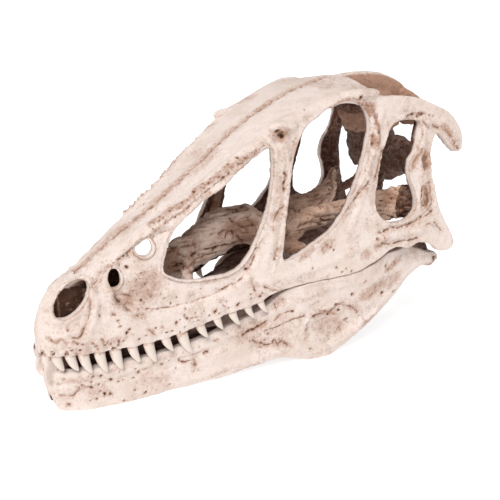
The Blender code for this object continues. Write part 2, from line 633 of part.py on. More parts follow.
def sheet(corners):
    """A thin upright sheet with the given corners."""
    count = len(corners)
    half = np.array((0, GAP / SKULL_LENGTH / 2, 0))
    points = [np.array(corner) + side * half for side in (-1, 1) for corner in corners]
    faces = [tuple(range(count)), tuple(range(2 * count - 1, count - 1, -1))]
    faces += [(i, count + i, count + (i + 1) % count, (i + 1) % count) for i in range(count)]
    return mesh_of(points, faces)


def both_sides(meshes):
    return [copy for mesh in meshes for copy in (mirrored(mesh), mesh)]


def loose_parts(mesh):
    """The separate closed bodies of a mesh, as meshes of their own."""
    shape = bmesh.new()
    shape.from_mesh(mesh)
    bpy.data.meshes.remove(mesh)
    parts, unseen = [], set(shape.verts)
    while unseen:
        waiting, body = [next(iter(unseen))], set()
        while waiting:
            vert = waiting.pop()
            if vert in body:
                continue
            body.add(vert)
            waiting += [edge.other_vert(vert) for edge in vert.link_edges]
        unseen -= body
        order = {vert: index for index, vert in enumerate(body)}
        faces = {face for vert in body for face in vert.link_faces}
        part = bpy.data.meshes.new("part")
        part.from_pydata([v.co for v in body], [], [[order[v] for v in face.verts] for face in faces])
        parts.append(part)
    shape.free()
    return parts


def nearest_distance(mesh, point):
    """How far a mesh's nearest vertex is from a point, in skull lengths."""
    return float(np.linalg.norm(coordinates(mesh) - np.array(point), axis=1).min())


def named(meshes, seeds):
    """The mesh nearest each named point."""
    bones = [mesh for mesh in meshes if np.ptp(coordinates(mesh), axis=0).min() > LEAST_BONE]
    return {name: min(bones, key=lambda mesh: nearest_distance(mesh, seed)) for name, seed in seeds.items()}


def skull_bones():
    """Every bone of the skull by name, without teeth."""
    openings = [ANTORBITAL_OPENING, ORBIT, TEMPORAL_OPENING]
    openings += [ellipse(**hole) for hole in (NOSTRIL, MAXILLARY_OPENING, PROMAXILLARY_OPENING)]
    side = wall(SKULL_SIDE, openings, SKULL_BARS, SKULL_BOSSES, skull_half_width)
    inner = [roof(), *snout_floor(), *rear_roof(), *braincase(), *palate()]
    shell = thinned(fused([side, mirrored(side), *inner]), SHELL_TRIANGLES)
    cuts = both_sides([ribbon(*suture, skull_half_width) for suture in SKULL_SUTURES])
    cuts += both_sides([pane(*cut) for cut in LEFT_CUTS])
    cuts += [pane(*cut) for cut in INNER_CUTS]
    cuts += [sheet(ROOF_CUT), *both_sides([sheet(CHEEK_CUT)])]
    for cut in cuts:
        shell = combined(shell, joined([cut]), "DIFFERENCE")
    seeds = dict(MIDDLE_BONES)
    for name, (x, y, z) in LEFT_BONES.items():
        seeds[name + "_left"] = (x, y, z)
        seeds[name + "_right"] = (x, -y, z)
    return named(loose_parts(shell), seeds)


def jaw_bones():
    """Every bone of the lower jaw by name: the left side cut flat underneath and at the chin, and its mirror image."""
    jaw = thinned(fused([wall(JAW_SIDE, [], JAW_BARS, [], jaw_half_width)], rounding=2), JAW_TRIANGLES)
    jaw = sliced(left_half(jaw), (0, 0, 0), (0, 0, 1))
    for suture in JAW_SUTURES:
        jaw = combined(jaw, joined([ribbon(*suture, jaw_half_width)]), "DIFFERENCE")
    bones = {}
    for name, mesh in named(loose_parts(jaw), LEFT_JAW_BONES).items():
        bones[name + "_left"] = mesh
        bones[name + "_right"] = mirrored(mesh)
    return bones


def add_teeth(bones):
    """The teeth, each grown into the bone that carries it."""
    for row in PREMAXILLARY_TEETH + MAXILLARY_TEETH:
        left = tooth(*row)
        for side, mesh in (("_left", left), ("_right", mirrored(left))):
            bone = "premaxilla" if row in PREMAXILLARY_TEETH else "maxilla" + side
            bones[bone] = combined(bones[bone], joined([mesh]), "UNION")


def material(name, colour):
    finish = bpy.data.materials.new(name)
    finish.use_nodes = True
    shader = finish.node_tree.nodes["Principled BSDF"]
    shader.inputs["Base Color"].default_value = colour
    shader.inputs["Roughness"].default_value = 0.6
    shader.inputs["Metallic"].default_value = 0.0
    finish.diffuse_color = colour
    return finish


def main():
    for obj in list(bpy.data.objects):
        bpy.data.objects.remove(obj)
    bones = {**skull_bones(), **jaw_bones()}
    add_teeth(bones)
    everything = np.concatenate([coordinates(mesh) for mesh in bones.values()])
    low, high = everything.min(axis=0), everything.max(axis=0)
    middle = np.array(((low[0] + high[0]) / 2, (low[1] + high[1]) / 2, low[2]))
    for name, mesh in bones.items():
        set_coordinates(mesh, coordinates(mesh) - middle)
        inner = name in INNER_BONES
        mesh.materials.clear()
        mesh.materials.append(material(name, INNER_COLOUR if inner else BONE_COLOUR))
        new_object(name, mesh)


main()
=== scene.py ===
"""A fossil dinosaur skull, dressed over its CAD solids: fine carved bone in ivory, brown-stained and darkened by
painted shade in its hollows and inside, on a pale stage.

The bone is laid out in skull lengths, with x running back from the snout tip, y sideways (the animal's left is
-y) and z up from the surface it lies on.  The walls are drawn flat, as plates with openings and thickened bars,
then laid on the plan of the skull and fused.  The fused bone is carved by tables of grooves, ridges, hollows and
holes, and is then parted into the same named bones as the solids.
"""

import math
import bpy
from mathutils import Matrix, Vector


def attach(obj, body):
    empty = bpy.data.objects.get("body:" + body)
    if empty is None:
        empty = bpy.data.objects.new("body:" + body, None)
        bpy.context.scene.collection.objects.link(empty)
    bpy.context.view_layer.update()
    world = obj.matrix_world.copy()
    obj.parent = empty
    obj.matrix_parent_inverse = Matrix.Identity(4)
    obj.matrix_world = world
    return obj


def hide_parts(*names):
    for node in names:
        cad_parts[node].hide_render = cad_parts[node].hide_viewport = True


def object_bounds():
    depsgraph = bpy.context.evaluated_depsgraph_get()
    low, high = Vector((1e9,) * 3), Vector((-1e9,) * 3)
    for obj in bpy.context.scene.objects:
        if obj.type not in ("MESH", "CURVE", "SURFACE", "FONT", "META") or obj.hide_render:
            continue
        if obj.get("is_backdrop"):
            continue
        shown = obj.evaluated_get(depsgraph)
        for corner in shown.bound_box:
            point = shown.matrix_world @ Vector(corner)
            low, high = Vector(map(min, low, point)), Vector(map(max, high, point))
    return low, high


bl_info = {
    "name": "Dinosaur Skull Fossil",
    "version": (1, 0, 0),
    "blender": (4, 5, 0),
    "location": "View3D > Sidebar > Skull",
    "description": "Builds a life-size dinosaur skull fossil in carved, stained bone over its CAD solids",
    "category": "Object",
}

import bmesh
import bpy
import numpy as np
from bpy.props import FloatProperty, FloatVectorProperty, PointerProperty
from mathutils import Vector
from mathutils.bvhtree import BVHTree

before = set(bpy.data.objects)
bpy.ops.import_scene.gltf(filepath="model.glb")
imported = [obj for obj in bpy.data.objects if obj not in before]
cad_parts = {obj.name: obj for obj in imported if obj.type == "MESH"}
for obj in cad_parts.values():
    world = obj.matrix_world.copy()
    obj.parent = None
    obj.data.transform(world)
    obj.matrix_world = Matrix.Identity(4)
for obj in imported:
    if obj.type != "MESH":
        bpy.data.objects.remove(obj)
CAD_LOW, CAD_HIGH = (np.array(corner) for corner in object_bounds())

SKULL_LENGTH = 0.410  # snout tip to the rear corner of the cheek, in metres
ORIGIN = np.array((0.52191, 0.0, 0.0))  # the frame's origin, in skull lengths from the snout tip
# ---------------------------------------------------------------- plan and profile, in skull lengths
NOSE_START, NOSE_REACH = 0.080, 0.082  # where the snout starts to round off, and how far that runs
CHIN_START, CHIN_REACH = 0.100, 0.088
PINCH, PINCH_HEIGHT = 0.024, 0.090  # how far the top of the snout is drawn in, and over what height
PINCH_FADE = (0.30, 0.50)  # the pinch dies out between these x
JAW_INSET = 0.835  # the lower jaw's width as a share of the skull's
JAW_LEAN = [(0.0, -0.10), (0.47, -0.10), (0.58, 0.04), (0.76, 0.04), (0.90, -0.10)]  # how far it leans out, at x
WALL = 0.018  # thickness of the side wall
PROUD = 0.003  # how far the wall's bars stand out of its face
ROOF = 0.020  # thickness of the skull roof
SHELF = 0.012  # thickness of the bony palate in the snout
CROWN = [(0.70, 0.006), (0.76, 0.018), (0.80, 0.036)]  # how far the roof's midline stands above its edges, at x


def blunt(x, start, reach):
    """The share of the full width that a rounded tip leaves at x."""
    step = np.clip((start - x) / reach, 0.0, 0.995)
    return np.sqrt(1.0 - step * step)


def wedge(x):
    """Half the skull's width at the level of the floor."""
    return 0.057 + 0.246 * x - 0.081 * x * x


def skull_half_width(x, z):
    """Half the skull's width: a long wedge, narrower towards the top, and drawn in along the top of the snout."""
    fade = np.clip((x - PINCH_FADE[0]) / (PINCH_FADE[1] - PINCH_FADE[0]), 0.0, 1.0)
    high = np.clip(1.0 - (0.222 + 0.64 * x - z) / PINCH_HEIGHT, 0.0, 1.0)
    pinch = PINCH * (1.0 - fade * fade * (3.0 - 2.0 * fade)) * high * high
    return (wedge(x) - 0.097 * z - pinch) * blunt(x, NOSE_START, NOSE_REACH)


def jaw_half_width(x, z):
    """Half the lower jaw's width: inside the teeth, leaning inwards towards the top, but not under the cheek."""
    lean = np.interp(x, *zip(*JAW_LEAN))
    return (JAW_INSET * wedge(x) + lean * z) * blunt(x, CHIN_START, CHIN_REACH)


MIDLINE = [  # profile of the roof along the midline, from the lip to the back of the frontals
    (0.002, 0.145), (0.001, 0.175), (0.008, 0.210), (0.021, 0.240), (0.040, 0.264), (0.068, 0.279),
    (0.100, 0.290), (0.150, 0.324), (0.200, 0.355), (0.250, 0.380), (0.300, 0.411), (0.400, 0.477),
    (0.500, 0.546), (0.600, 0.594), (0.700, 0.625), (0.790, 0.637),
]  # fmt: skip

SKULL_SIDE = [  # outline of the side wall: lip and cheek, cheek corner, hook, roof edge, nose
    (0.004, 0.128), (0.030, 0.126), (0.080, 0.127), (0.150, 0.126), (0.220, 0.129), (0.280, 0.137),
    (0.340, 0.150), (0.400, 0.163), (0.460, 0.174), (0.500, 0.189), (0.560, 0.197), (0.640, 0.199),
    (0.720, 0.204), (0.780, 0.223), (0.830, 0.246), (0.870, 0.238), (0.905, 0.246), (0.940, 0.236),
    (0.970, 0.214), (0.995, 0.212), (1.016, 0.224), (1.010, 0.248), (0.992, 0.280), (0.974, 0.315),
    (0.957, 0.358), (0.947, 0.400), (0.943, 0.440), (0.946, 0.475), (0.957, 0.501), (0.973, 0.499),
    (0.990, 0.480), (1.010, 0.460), (1.034, 0.454), (1.045, 0.474), (1.035, 0.510), (1.010, 0.543),
    (0.970, 0.566), (0.920, 0.586), (0.860, 0.599), (0.800, 0.601), (0.752, 0.618), (0.690, 0.616),
    (0.620, 0.592), (0.550, 0.565), (0.500, 0.540), (0.450, 0.506), (0.400, 0.471), (0.350, 0.437),
    (0.300, 0.404), (0.250, 0.373), (0.200, 0.348), (0.150, 0.317), (0.100, 0.284), (0.068, 0.273),
    (0.040, 0.258), (0.020, 0.236), (0.008, 0.208), (0.002, 0.176), (0.002, 0.150),
]  # fmt: skip

ANTORBITAL_OPENING = [
    (0.256, 0.277), (0.275, 0.259), (0.310, 0.249), (0.360, 0.247), (0.408, 0.253), (0.442, 0.279),
    (0.466, 0.315), (0.489, 0.360), (0.504, 0.410), (0.513, 0.460), (0.513, 0.505), (0.496, 0.520),
    (0.470, 0.502), (0.440, 0.474), (0.402, 0.439), (0.354, 0.411), (0.305, 0.374), (0.279, 0.347),
    (0.266, 0.318),
]  # fmt: skip
ORBIT = [
    (0.528, 0.262), (0.560, 0.266), (0.605, 0.286), (0.652, 0.312), (0.685, 0.346), (0.712, 0.390),
    (0.735, 0.440), (0.752, 0.490), (0.763, 0.530), (0.758, 0.566), (0.735, 0.591), (0.703, 0.600),
    (0.668, 0.592), (0.630, 0.568), (0.598, 0.549), (0.577, 0.515), (0.561, 0.470), (0.551, 0.420),
    (0.541, 0.370), (0.532, 0.310),
]  # fmt: skip
TEMPORAL_OPENING = [
    (0.855, 0.306), (0.883, 0.317), (0.896, 0.345), (0.888, 0.378), (0.874, 0.412), (0.877, 0.446),
    (0.900, 0.474), (0.914, 0.505), (0.908, 0.534), (0.880, 0.543), (0.846, 0.542), (0.822, 0.524),
    (0.806, 0.490), (0.793, 0.450), (0.782, 0.405), (0.775, 0.360), (0.787, 0.327), (0.818, 0.308),
]  # fmt: skip
NOSTRIL = dict(middle=(0.069, 0.240), radii=(0.047, 0.0210), turn=46.0)
MAXILLARY_OPENING = dict(middle=(0.222, 0.329), radii=(0.0185, 0.0175), turn=80.0)
PROMAXILLARY_OPENING = dict(middle=(0.155, 0.273), radii=(0.0200, 0.0125), turn=80.0)

JAW_SIDE = [  # outline of the lower jaw: chin, lower edge, jaw joint, upper edge
    (0.016, 0.082), (0.018, 0.045), (0.024, 0.008), (0.037, -0.001), (0.080, -0.003), (0.140, -0.004),
    (0.200, -0.001), (0.260, 0.004), (0.330, 0.007), (0.400, 0.010), (0.460, 0.017), (0.520, 0.022),
    (0.560, 0.013), (0.600, -0.001), (0.630, -0.005), (0.665, 0.003), (0.710, 0.024), (0.760, 0.054),
    (0.810, 0.087), (0.860, 0.121), (0.905, 0.156), (0.940, 0.172), (0.972, 0.166), (0.992, 0.174),
    (1.000, 0.187), (0.990, 0.200), (0.966, 0.204), (0.940, 0.215), (0.900, 0.230), (0.860, 0.229),
    (0.820, 0.228), (0.785, 0.216), (0.740, 0.205), (0.680, 0.199), (0.620, 0.197), (0.570, 0.194),
    (0.530, 0.183), (0.486, 0.150), (0.420, 0.129), (0.370, 0.116), (0.320, 0.105), (0.250, 0.095),
    (0.160, 0.089), (0.080, 0.086), (0.030, 0.084),
]  # fmt: skip

# Bars that thicken the walls: (x, z, radius)
SKULL_BARS = [
    [(0.020, 0.150, 0.016), (0.090, 0.146, 0.017), (0.180, 0.146, 0.017), (0.280, 0.156, 0.016),
     (0.370, 0.176, 0.015), (0.460, 0.198, 0.015)],  # edge that carries the teeth
    [(0.440, 0.218, 0.015), (0.540, 0.226, 0.015), (0.640, 0.236, 0.018), (0.740, 0.262, 0.019),
     (0.830, 0.276, 0.017), (0.920, 0.276, 0.021), (0.985, 0.240, 0.015)],  # cheek
    [(0.548, 0.545, 0.016), (0.537, 0.490, 0.015), (0.529, 0.430, 0.014), (0.519, 0.370, 0.015),
     (0.502, 0.310, 0.017), (0.480, 0.250, 0.018)],  # before the eye
    [(0.800, 0.572, 0.019), (0.784, 0.525, 0.016), (0.768, 0.470, 0.015), (0.750, 0.410, 0.016),
     (0.725, 0.350, 0.018), (0.690, 0.285, 0.019)],  # behind the eye
    [(0.770, 0.596, 0.017), (0.830, 0.575, 0.020), (0.890, 0.567, 0.020), (0.945, 0.553, 0.021)],
    [(0.930, 0.555, 0.022), (0.975, 0.540, 0.020), (1.005, 0.515, 0.017), (1.023, 0.480, 0.013)],
    [(0.933, 0.545, 0.019), (0.920, 0.490, 0.019), (0.909, 0.435, 0.020), (0.920, 0.380, 0.020),
     (0.932, 0.320, 0.021), (0.940, 0.262, 0.021)],  # quadrate
    [(0.120, 0.288, 0.010), (0.200, 0.338, 0.011), (0.320, 0.408, 0.012), (0.430, 0.482, 0.014),
     (0.540, 0.545, 0.016)],  # edge of the snout's roof
    [(0.540, 0.552, 0.014), (0.610, 0.578, 0.013), (0.690, 0.603, 0.013), (0.770, 0.595, 0.016)],
]  # fmt: skip
JAW_BARS = [
    [(0.026, 0.080, 0.015), (0.034, 0.040, 0.019), (0.054, 0.022, 0.019)],  # chin
    [(0.034, 0.072, 0.016), (0.160, 0.074, 0.017), (0.300, 0.084, 0.016), (0.450, 0.116, 0.015),
     (0.560, 0.160, 0.016), (0.690, 0.176, 0.016), (0.840, 0.170, 0.015), (0.960, 0.186, 0.016)],
    [(0.040, 0.020, 0.017), (0.200, 0.018, 0.016), (0.400, 0.027, 0.015), (0.520, 0.039, 0.015),
     (0.630, 0.016, 0.016), (0.740, 0.060, 0.016), (0.860, 0.141, 0.016), (0.945, 0.186, 0.016)],
]  # fmt: skip

# Bosses that stand out of the wall: (x, z) of the middle, and how far each reaches along, out of the face and up
SKULL_BOSSES = [
    (0.540, 0.553, 0.036, 0.012, 0.012),  # on the lacrimal, before the eye
    (0.742, 0.611, 0.050, 0.013, 0.012),  # on the postorbital, behind the eye
]

# Teeth of one side: x of the root, x and z of the tip, and the root's radius along the row
PREMAXILLARY_TEETH = [
    (0.012, 0.014, 0.097, 0.0105), (0.028, 0.038, 0.092, 0.0115), (0.052, 0.064, 0.090, 0.0115),
    (0.077, 0.090, 0.080, 0.0120),
]  # fmt: skip
MAXILLARY_TEETH = [
    (0.109, 0.121, 0.077, 0.0120), (0.141, 0.152, 0.078, 0.0130), (0.176, 0.190, 0.086, 0.0115),
    (0.211, 0.224, 0.080, 0.0125), (0.247, 0.262, 0.098, 0.0115), (0.284, 0.303, 0.086, 0.0135),
    (0.325, 0.341, 0.114, 0.0115), (0.364, 0.377, 0.126, 0.0100), (0.400, 0.417, 0.129, 0.0105),
    (0.436, 0.452, 0.139, 0.0100), (0.468, 0.484, 0.146, 0.0095),
]  # fmt: skip
GUM_LINE = [(0.000, 0.128), (0.200, 0.128), (0.300, 0.141), (0.400, 0.163), (0.480, 0.179)]  # edge they leave
TOOTH_DEPTH = 0.0075  # how far inside the wall's face the teeth stand
TOOTH_GIRTH = 0.97  # how stout the dressed teeth are beside the solids' teeth
SOCKET_DEPTH = 0.012  # how far their roots go up into the bone


# ---------------------------------------------------------------- carving, in skull lengths
# Grooves of the side wall: line of (x, z), half width, depth, stain
GROOVES = [
    ([(0.099, 0.249), (0.101, 0.232), (0.097, 0.216), (0.091, 0.199), (0.081, 0.184), (0.075, 0.169),
     (0.065, 0.162), (0.054, 0.170), (0.051, 0.180)], 0.0028, 0.0028, 0.8),
    ([(0.106, 0.258), (0.117, 0.271), (0.126, 0.283), (0.138, 0.289),
     (0.151, 0.297)], 0.0055, 0.0040, 0.6),
    ([(0.019, 0.163), (0.028, 0.158), (0.037, 0.164), (0.045, 0.157), (0.057, 0.155),
     (0.076, 0.149)], 0.0024, 0.0030, 0.9),
    ([(0.091, 0.150), (0.098, 0.144), (0.104, 0.135)], 0.0024, 0.0030, 0.9),
    ([(0.116, 0.152), (0.117, 0.140), (0.124, 0.146)], 0.0028, 0.0035, 1.0),
    ([(0.146, 0.147), (0.146, 0.135)], 0.0024, 0.0030, 0.9),
    ([(0.059, 0.131), (0.068, 0.126), (0.070, 0.115)], 0.0024, 0.0030, 0.9),
    ([(0.147, 0.253), (0.149, 0.244), (0.149, 0.235)], 0.0026, 0.0040, 1.0),
    ([(0.149, 0.235), (0.154, 0.226), (0.163, 0.216), (0.175, 0.206), (0.186, 0.197),
     (0.199, 0.192)], 0.0050, 0.0060, 0.8),
    ([(0.210, 0.159), (0.215, 0.154), (0.221, 0.145)], 0.0020, 0.0022, 0.8),
    ([(0.290, 0.176), (0.294, 0.169), (0.307, 0.166), (0.321, 0.169)], 0.0022, 0.0025, 0.7),
    ([(0.371, 0.195), (0.379, 0.183), (0.384, 0.170)], 0.0032, 0.0030, 0.6),
    ([(0.365, 0.216), (0.383, 0.218), (0.405, 0.224)], 0.0020, 0.0020, 0.7),
    ([(0.445, 0.230), (0.450, 0.217), (0.454, 0.206)], 0.0030, 0.0026, 0.7),
    ([(0.477, 0.209), (0.495, 0.199), (0.516, 0.195)], 0.0030, 0.0026, 0.7),
    ([(0.537, 0.414), (0.534, 0.426), (0.540, 0.439), (0.539, 0.453)], 0.0050, 0.0030, 0.7),
    ([(0.507, 0.355), (0.514, 0.368), (0.530, 0.383)], 0.0030, 0.0050, 1.0),
    ([(0.505, 0.270), (0.506, 0.280), (0.514, 0.289)], 0.0035, 0.0040, 0.8),
    ([(0.505, 0.339), (0.504, 0.332)], 0.0030, 0.0030, 0.8),
    ([(0.686, 0.343), (0.707, 0.366), (0.734, 0.391), (0.754, 0.409)], 0.0042, 0.0050, 0.8),
    ([(0.779, 0.422), (0.782, 0.438), (0.789, 0.458), (0.795, 0.478)], 0.0045, 0.0060, 0.9),
    ([(0.785, 0.285), (0.811, 0.292), (0.844, 0.293), (0.877, 0.297), (0.908, 0.305),
     (0.940, 0.317)], 0.0055, 0.0060, 0.7),
    ([(0.789, 0.262), (0.814, 0.257), (0.843, 0.258), (0.871, 0.258),
     (0.895, 0.258)], 0.0028, 0.0035, 0.8),
    ([(0.885, 0.432), (0.892, 0.447), (0.903, 0.460), (0.916, 0.470)], 0.0042, 0.0035, 1.0),
    ([(0.917, 0.534), (0.924, 0.528), (0.931, 0.522)], 0.0026, 0.0040, 1.0),
    ([(0.947, 0.524), (0.969, 0.516), (0.990, 0.506), (1.007, 0.489), (1.019, 0.473),
     (1.027, 0.462)], 0.0050, 0.0050, 0.8),
    ([(0.958, 0.493), (0.950, 0.477), (0.947, 0.460), (0.943, 0.442)], 0.0035, 0.0030, 0.7),
    ([(0.918, 0.283), (0.930, 0.290), (0.946, 0.291), (0.959, 0.279),
     (0.971, 0.266)], 0.0032, 0.0035, 0.7),
    ([(0.913, 0.383), (0.910, 0.360), (0.913, 0.335), (0.915, 0.325)], 0.0030, 0.0040, 0.8),
    ([(0.934, 0.391), (0.939, 0.371), (0.943, 0.346), (0.937, 0.329), (0.915, 0.313),
     (0.902, 0.307)], 0.0035, 0.0045, 0.7),
    ([(0.570, 0.527), (0.561, 0.506), (0.555, 0.479)], 0.0030, 0.0020, 0.5),
    ([(0.700, 0.188), (0.700, 0.171)], 0.0018, 0.0018, 0.6),
    ([(0.476, 0.312), (0.463, 0.296), (0.449, 0.281), (0.435, 0.265),
     (0.440, 0.253)], 0.0035, 0.0030, 0.6),
    ([(0.873, 0.553), (0.910, 0.551), (0.949, 0.546)], 0.006, 0.0030, 0.3),
    ([(0.185, 0.322), (0.240, 0.358), (0.309, 0.394), (0.367, 0.436), (0.430, 0.478), (0.500, 0.523)],
     0.0035, 0.0024, 0.35),
]  # fmt: skip
# Ridges of the side wall: line, half width, height, beads, rust
RIDGES = [
    ([(0.108, 0.258), (0.111, 0.237), (0.108, 0.215), (0.102, 0.192),
     (0.092, 0.175)], 0.0070, 0.0030, 0.1, 0.0),
    ([(0.152, 0.298), (0.167, 0.306), (0.194, 0.319), (0.217, 0.333), (0.237, 0.353), (0.260, 0.369),
     (0.287, 0.385), (0.309, 0.394), (0.330, 0.409), (0.351, 0.425)], 0.0050, 0.0026, 0.7, 0.45),
    ([(0.242, 0.372), (0.266, 0.386), (0.292, 0.399), (0.313, 0.407), (0.330, 0.420), (0.354, 0.438),
     (0.379, 0.453), (0.396, 0.466), (0.412, 0.477), (0.433, 0.486), (0.456, 0.498),
     (0.473, 0.506)], 0.0062, 0.0048, 1.0, 0.55),
    ([(0.392, 0.451), (0.410, 0.462), (0.432, 0.473), (0.455, 0.486)], 0.0050, 0.0026, 1.0, 0.5),
    ([(0.169, 0.285), (0.184, 0.269), (0.204, 0.245), (0.220, 0.232)], 0.0065, 0.0030, 0.1, 0.0),
    ([(0.703, 0.380), (0.726, 0.403), (0.746, 0.428), (0.762, 0.461),
     (0.772, 0.483)], 0.0040, 0.0030, 0.2, 0.0),
    ([(0.782, 0.271), (0.806, 0.275), (0.844, 0.274), (0.883, 0.274), (0.921, 0.281),
     (0.953, 0.295)], 0.0100, 0.0045, 0.1, 0.0),
    ([(0.739, 0.592), (0.761, 0.578), (0.777, 0.554), (0.784, 0.525),
     (0.781, 0.493)], 0.0055, 0.0040, 1.0, 0.8),
    ([(0.663, 0.589), (0.687, 0.600), (0.713, 0.603), (0.734, 0.598)], 0.0045, 0.0030, 0.7, 0.5),
    ([(0.501, 0.243), (0.516, 0.287), (0.529, 0.341), (0.541, 0.395), (0.549, 0.449),
     (0.547, 0.503)], 0.0045, 0.0024, 0.2, 0.0),
    ([(0.039, 0.261), (0.054, 0.274), (0.074, 0.283), (0.093, 0.285), (0.105, 0.275),
     (0.109, 0.260)], 0.0050, 0.0018, 0.1, 0.0),
    ([(0.030, 0.232), (0.029, 0.211), (0.037, 0.199), (0.052, 0.201),
     (0.068, 0.211)], 0.0060, 0.0022, 0.1, 0.0),
    ([(0.926, 0.394), (0.923, 0.409)], 0.0060, 0.0020, 0.1, 0.0),
    ([(0.906, 0.387), (0.902, 0.357), (0.905, 0.326)], 0.0035, 0.0022, 0.1, 0.0),
    ([(0.950, 0.382), (0.956, 0.350), (0.956, 0.329)], 0.0035, 0.0022, 0.1, 0.0),
    ([(0.513, 0.184), (0.564, 0.184), (0.629, 0.187), (0.697, 0.188)], 0.0060, 0.0016, 0.1, 0.0),
]  # fmt: skip
# Hollows of the side wall: middle, radii, turn in degrees, depth, stain
HOLLOWS = [
    ((0.170, 0.227), (0.030, 0.014), -28, 0.0050, 0.35),
    ((0.122, 0.210), (0.012, 0.020), 0, 0.0030, 0.20),
    ((0.056, 0.193), (0.030, 0.016), 20, 0.0035, 0.12),
    ((0.924, 0.358), (0.011, 0.036), 4, 0.0030, 0.55),
    ((0.922, 0.442), (0.014, 0.026), 8, 0.0028, 0.50),
    ((0.892, 0.551), (0.034, 0.009), 4, 0.0040, 0.30),
    ((0.220, 0.232), (0.050, 0.030), 15, 0.0030, 0.00),
    ((0.132, 0.122), (0.006, 0.006), 0, 0.0010, 0.00),
    ((0.532, 0.538), (0.007, 0.006), 0, 0.0045, 0.5),
    ((0.128, 0.200), (0.020, 0.040), 10, 0.0026, 0.1),
    ((0.300, 0.205), (0.090, 0.020), 4, 0.0022, 0.1),
]
# Small holes of the side wall: x, z, radius, depth, stain
PITS = [
    (0.143, 0.201, 0.0045, 0.0035, 0.70), (0.150, 0.187, 0.0020, 0.0050, 0.95),
    (0.154, 0.175, 0.0020, 0.0040, 0.80), (0.166, 0.159, 0.0024, 0.0040, 0.80),
    (0.173, 0.164, 0.0024, 0.0040, 0.80), (0.240, 0.158, 0.0030, 0.0040, 0.70),
    (0.246, 0.145, 0.0022, 0.0040, 0.70), (0.270, 0.163, 0.0026, 0.0050, 0.90),
    (0.055, 0.140, 0.0024, 0.0040, 0.80), (0.070, 0.138, 0.0024, 0.0040, 0.90),
    (0.064, 0.153, 0.0024, 0.0040, 0.80), (0.100, 0.122, 0.0022, 0.0030, 0.80),
    (0.093, 0.110, 0.0024, 0.0040, 0.90), (0.097, 0.099, 0.0040, 0.0060, 1.00),
    (0.181, 0.294, 0.0026, 0.0050, 0.95), (0.179, 0.296, 0.0020, 0.0040, 0.90),
    (0.203, 0.220, 0.0026, 0.0040, 0.80), (0.252, 0.215, 0.0026, 0.0040, 0.70),
    (0.295, 0.169, 0.0022, 0.0040, 0.80), (0.357, 0.174, 0.0036, 0.0050, 0.80),
    (0.410, 0.179, 0.0026, 0.0050, 0.95), (0.464, 0.189, 0.0036, 0.0040, 0.70),
    (0.308, 0.425, 0.0026, 0.0060, 1.00), (0.340, 0.430, 0.0026, 0.0050, 0.90),
    (0.430, 0.509, 0.0020, 0.0040, 0.80), (0.434, 0.496, 0.0024, 0.0040, 0.80),
    (0.400, 0.457, 0.0040, 0.0040, 0.70), (0.418, 0.479, 0.0040, 0.0040, 0.60),
    (0.451, 0.515, 0.0050, 0.0050, 0.70), (0.522, 0.545, 0.0040, 0.0060, 0.90),
    (0.536, 0.532, 0.0040, 0.0070, 1.00), (0.527, 0.535, 0.0050, 0.0040, 0.50),
    (0.440, 0.253, 0.0030, 0.0060, 1.00), (0.732, 0.602, 0.0040, 0.0060, 1.00),
    (0.754, 0.567, 0.0045, 0.0040, 0.70), (0.767, 0.497, 0.0045, 0.0040, 0.80),
    (0.770, 0.514, 0.0030, 0.0040, 0.80), (0.777, 0.275, 0.0036, 0.0080, 1.00),
    (0.793, 0.274, 0.0018, 0.0030, 0.80), (0.889, 0.553, 0.0026, 0.0030, 0.60),
    (0.918, 0.334, 0.0026, 0.0050, 0.90), (0.940, 0.364, 0.0022, 0.0050, 0.90),
    (0.921, 0.421, 0.0026, 0.0040, 0.80), (0.929, 0.450, 0.0024, 0.0040, 0.80),
    (0.947, 0.418, 0.0022, 0.0040, 0.90), (0.946, 0.282, 0.0022, 0.0040, 0.90),
    (1.014, 0.235, 0.0024, 0.0020, 0.50), (0.020, 0.224, 0.0060, -0.0022, 0.45),
    (0.677, 0.212, 0.0022, 0.0030, 0.70), (0.663, 0.223, 0.0024, 0.0030, 0.70),
    (0.687, 0.217, 0.0020, 0.0030, 0.60), (0.703, 0.209, 0.0022, 0.0030, 0.70),
    (0.598, 0.232, 0.0026, 0.0030, 0.60), (0.639, 0.280, 0.0036, 0.0030, 0.60),
    (0.648, 0.273, 0.0030, 0.0030, 0.60), (0.630, 0.275, 0.0026, 0.0030, 0.60),
    (0.656, 0.266, 0.0022, 0.0030, 0.60), (0.539, 0.455, 0.0030, 0.0040, 0.80),
    (0.536, 0.434, 0.0034, 0.0040, 0.80), (0.539, 0.419, 0.0030, 0.0040, 0.80),
    (0.187, 0.242, 0.0018, 0.0030, 0.60), (0.265, 0.203, 0.0020, 0.0030, 0.70),
    (0.279, 0.214, 0.0020, 0.0030, 0.70), (0.293, 0.189, 0.0020, 0.0030, 0.70),
    (0.315, 0.177, 0.0020, 0.0030, 0.70), (0.333, 0.225, 0.0018, 0.0030, 0.50),
    (0.225, 0.268, 0.0018, 0.0030, 0.50), (0.197, 0.267, 0.0018, 0.0030, 0.50),
    (0.208, 0.278, 0.0018, 0.0030, 0.50), (0.214, 0.252, 0.0018, 0.0030, 0.50),
]  # fmt: skip
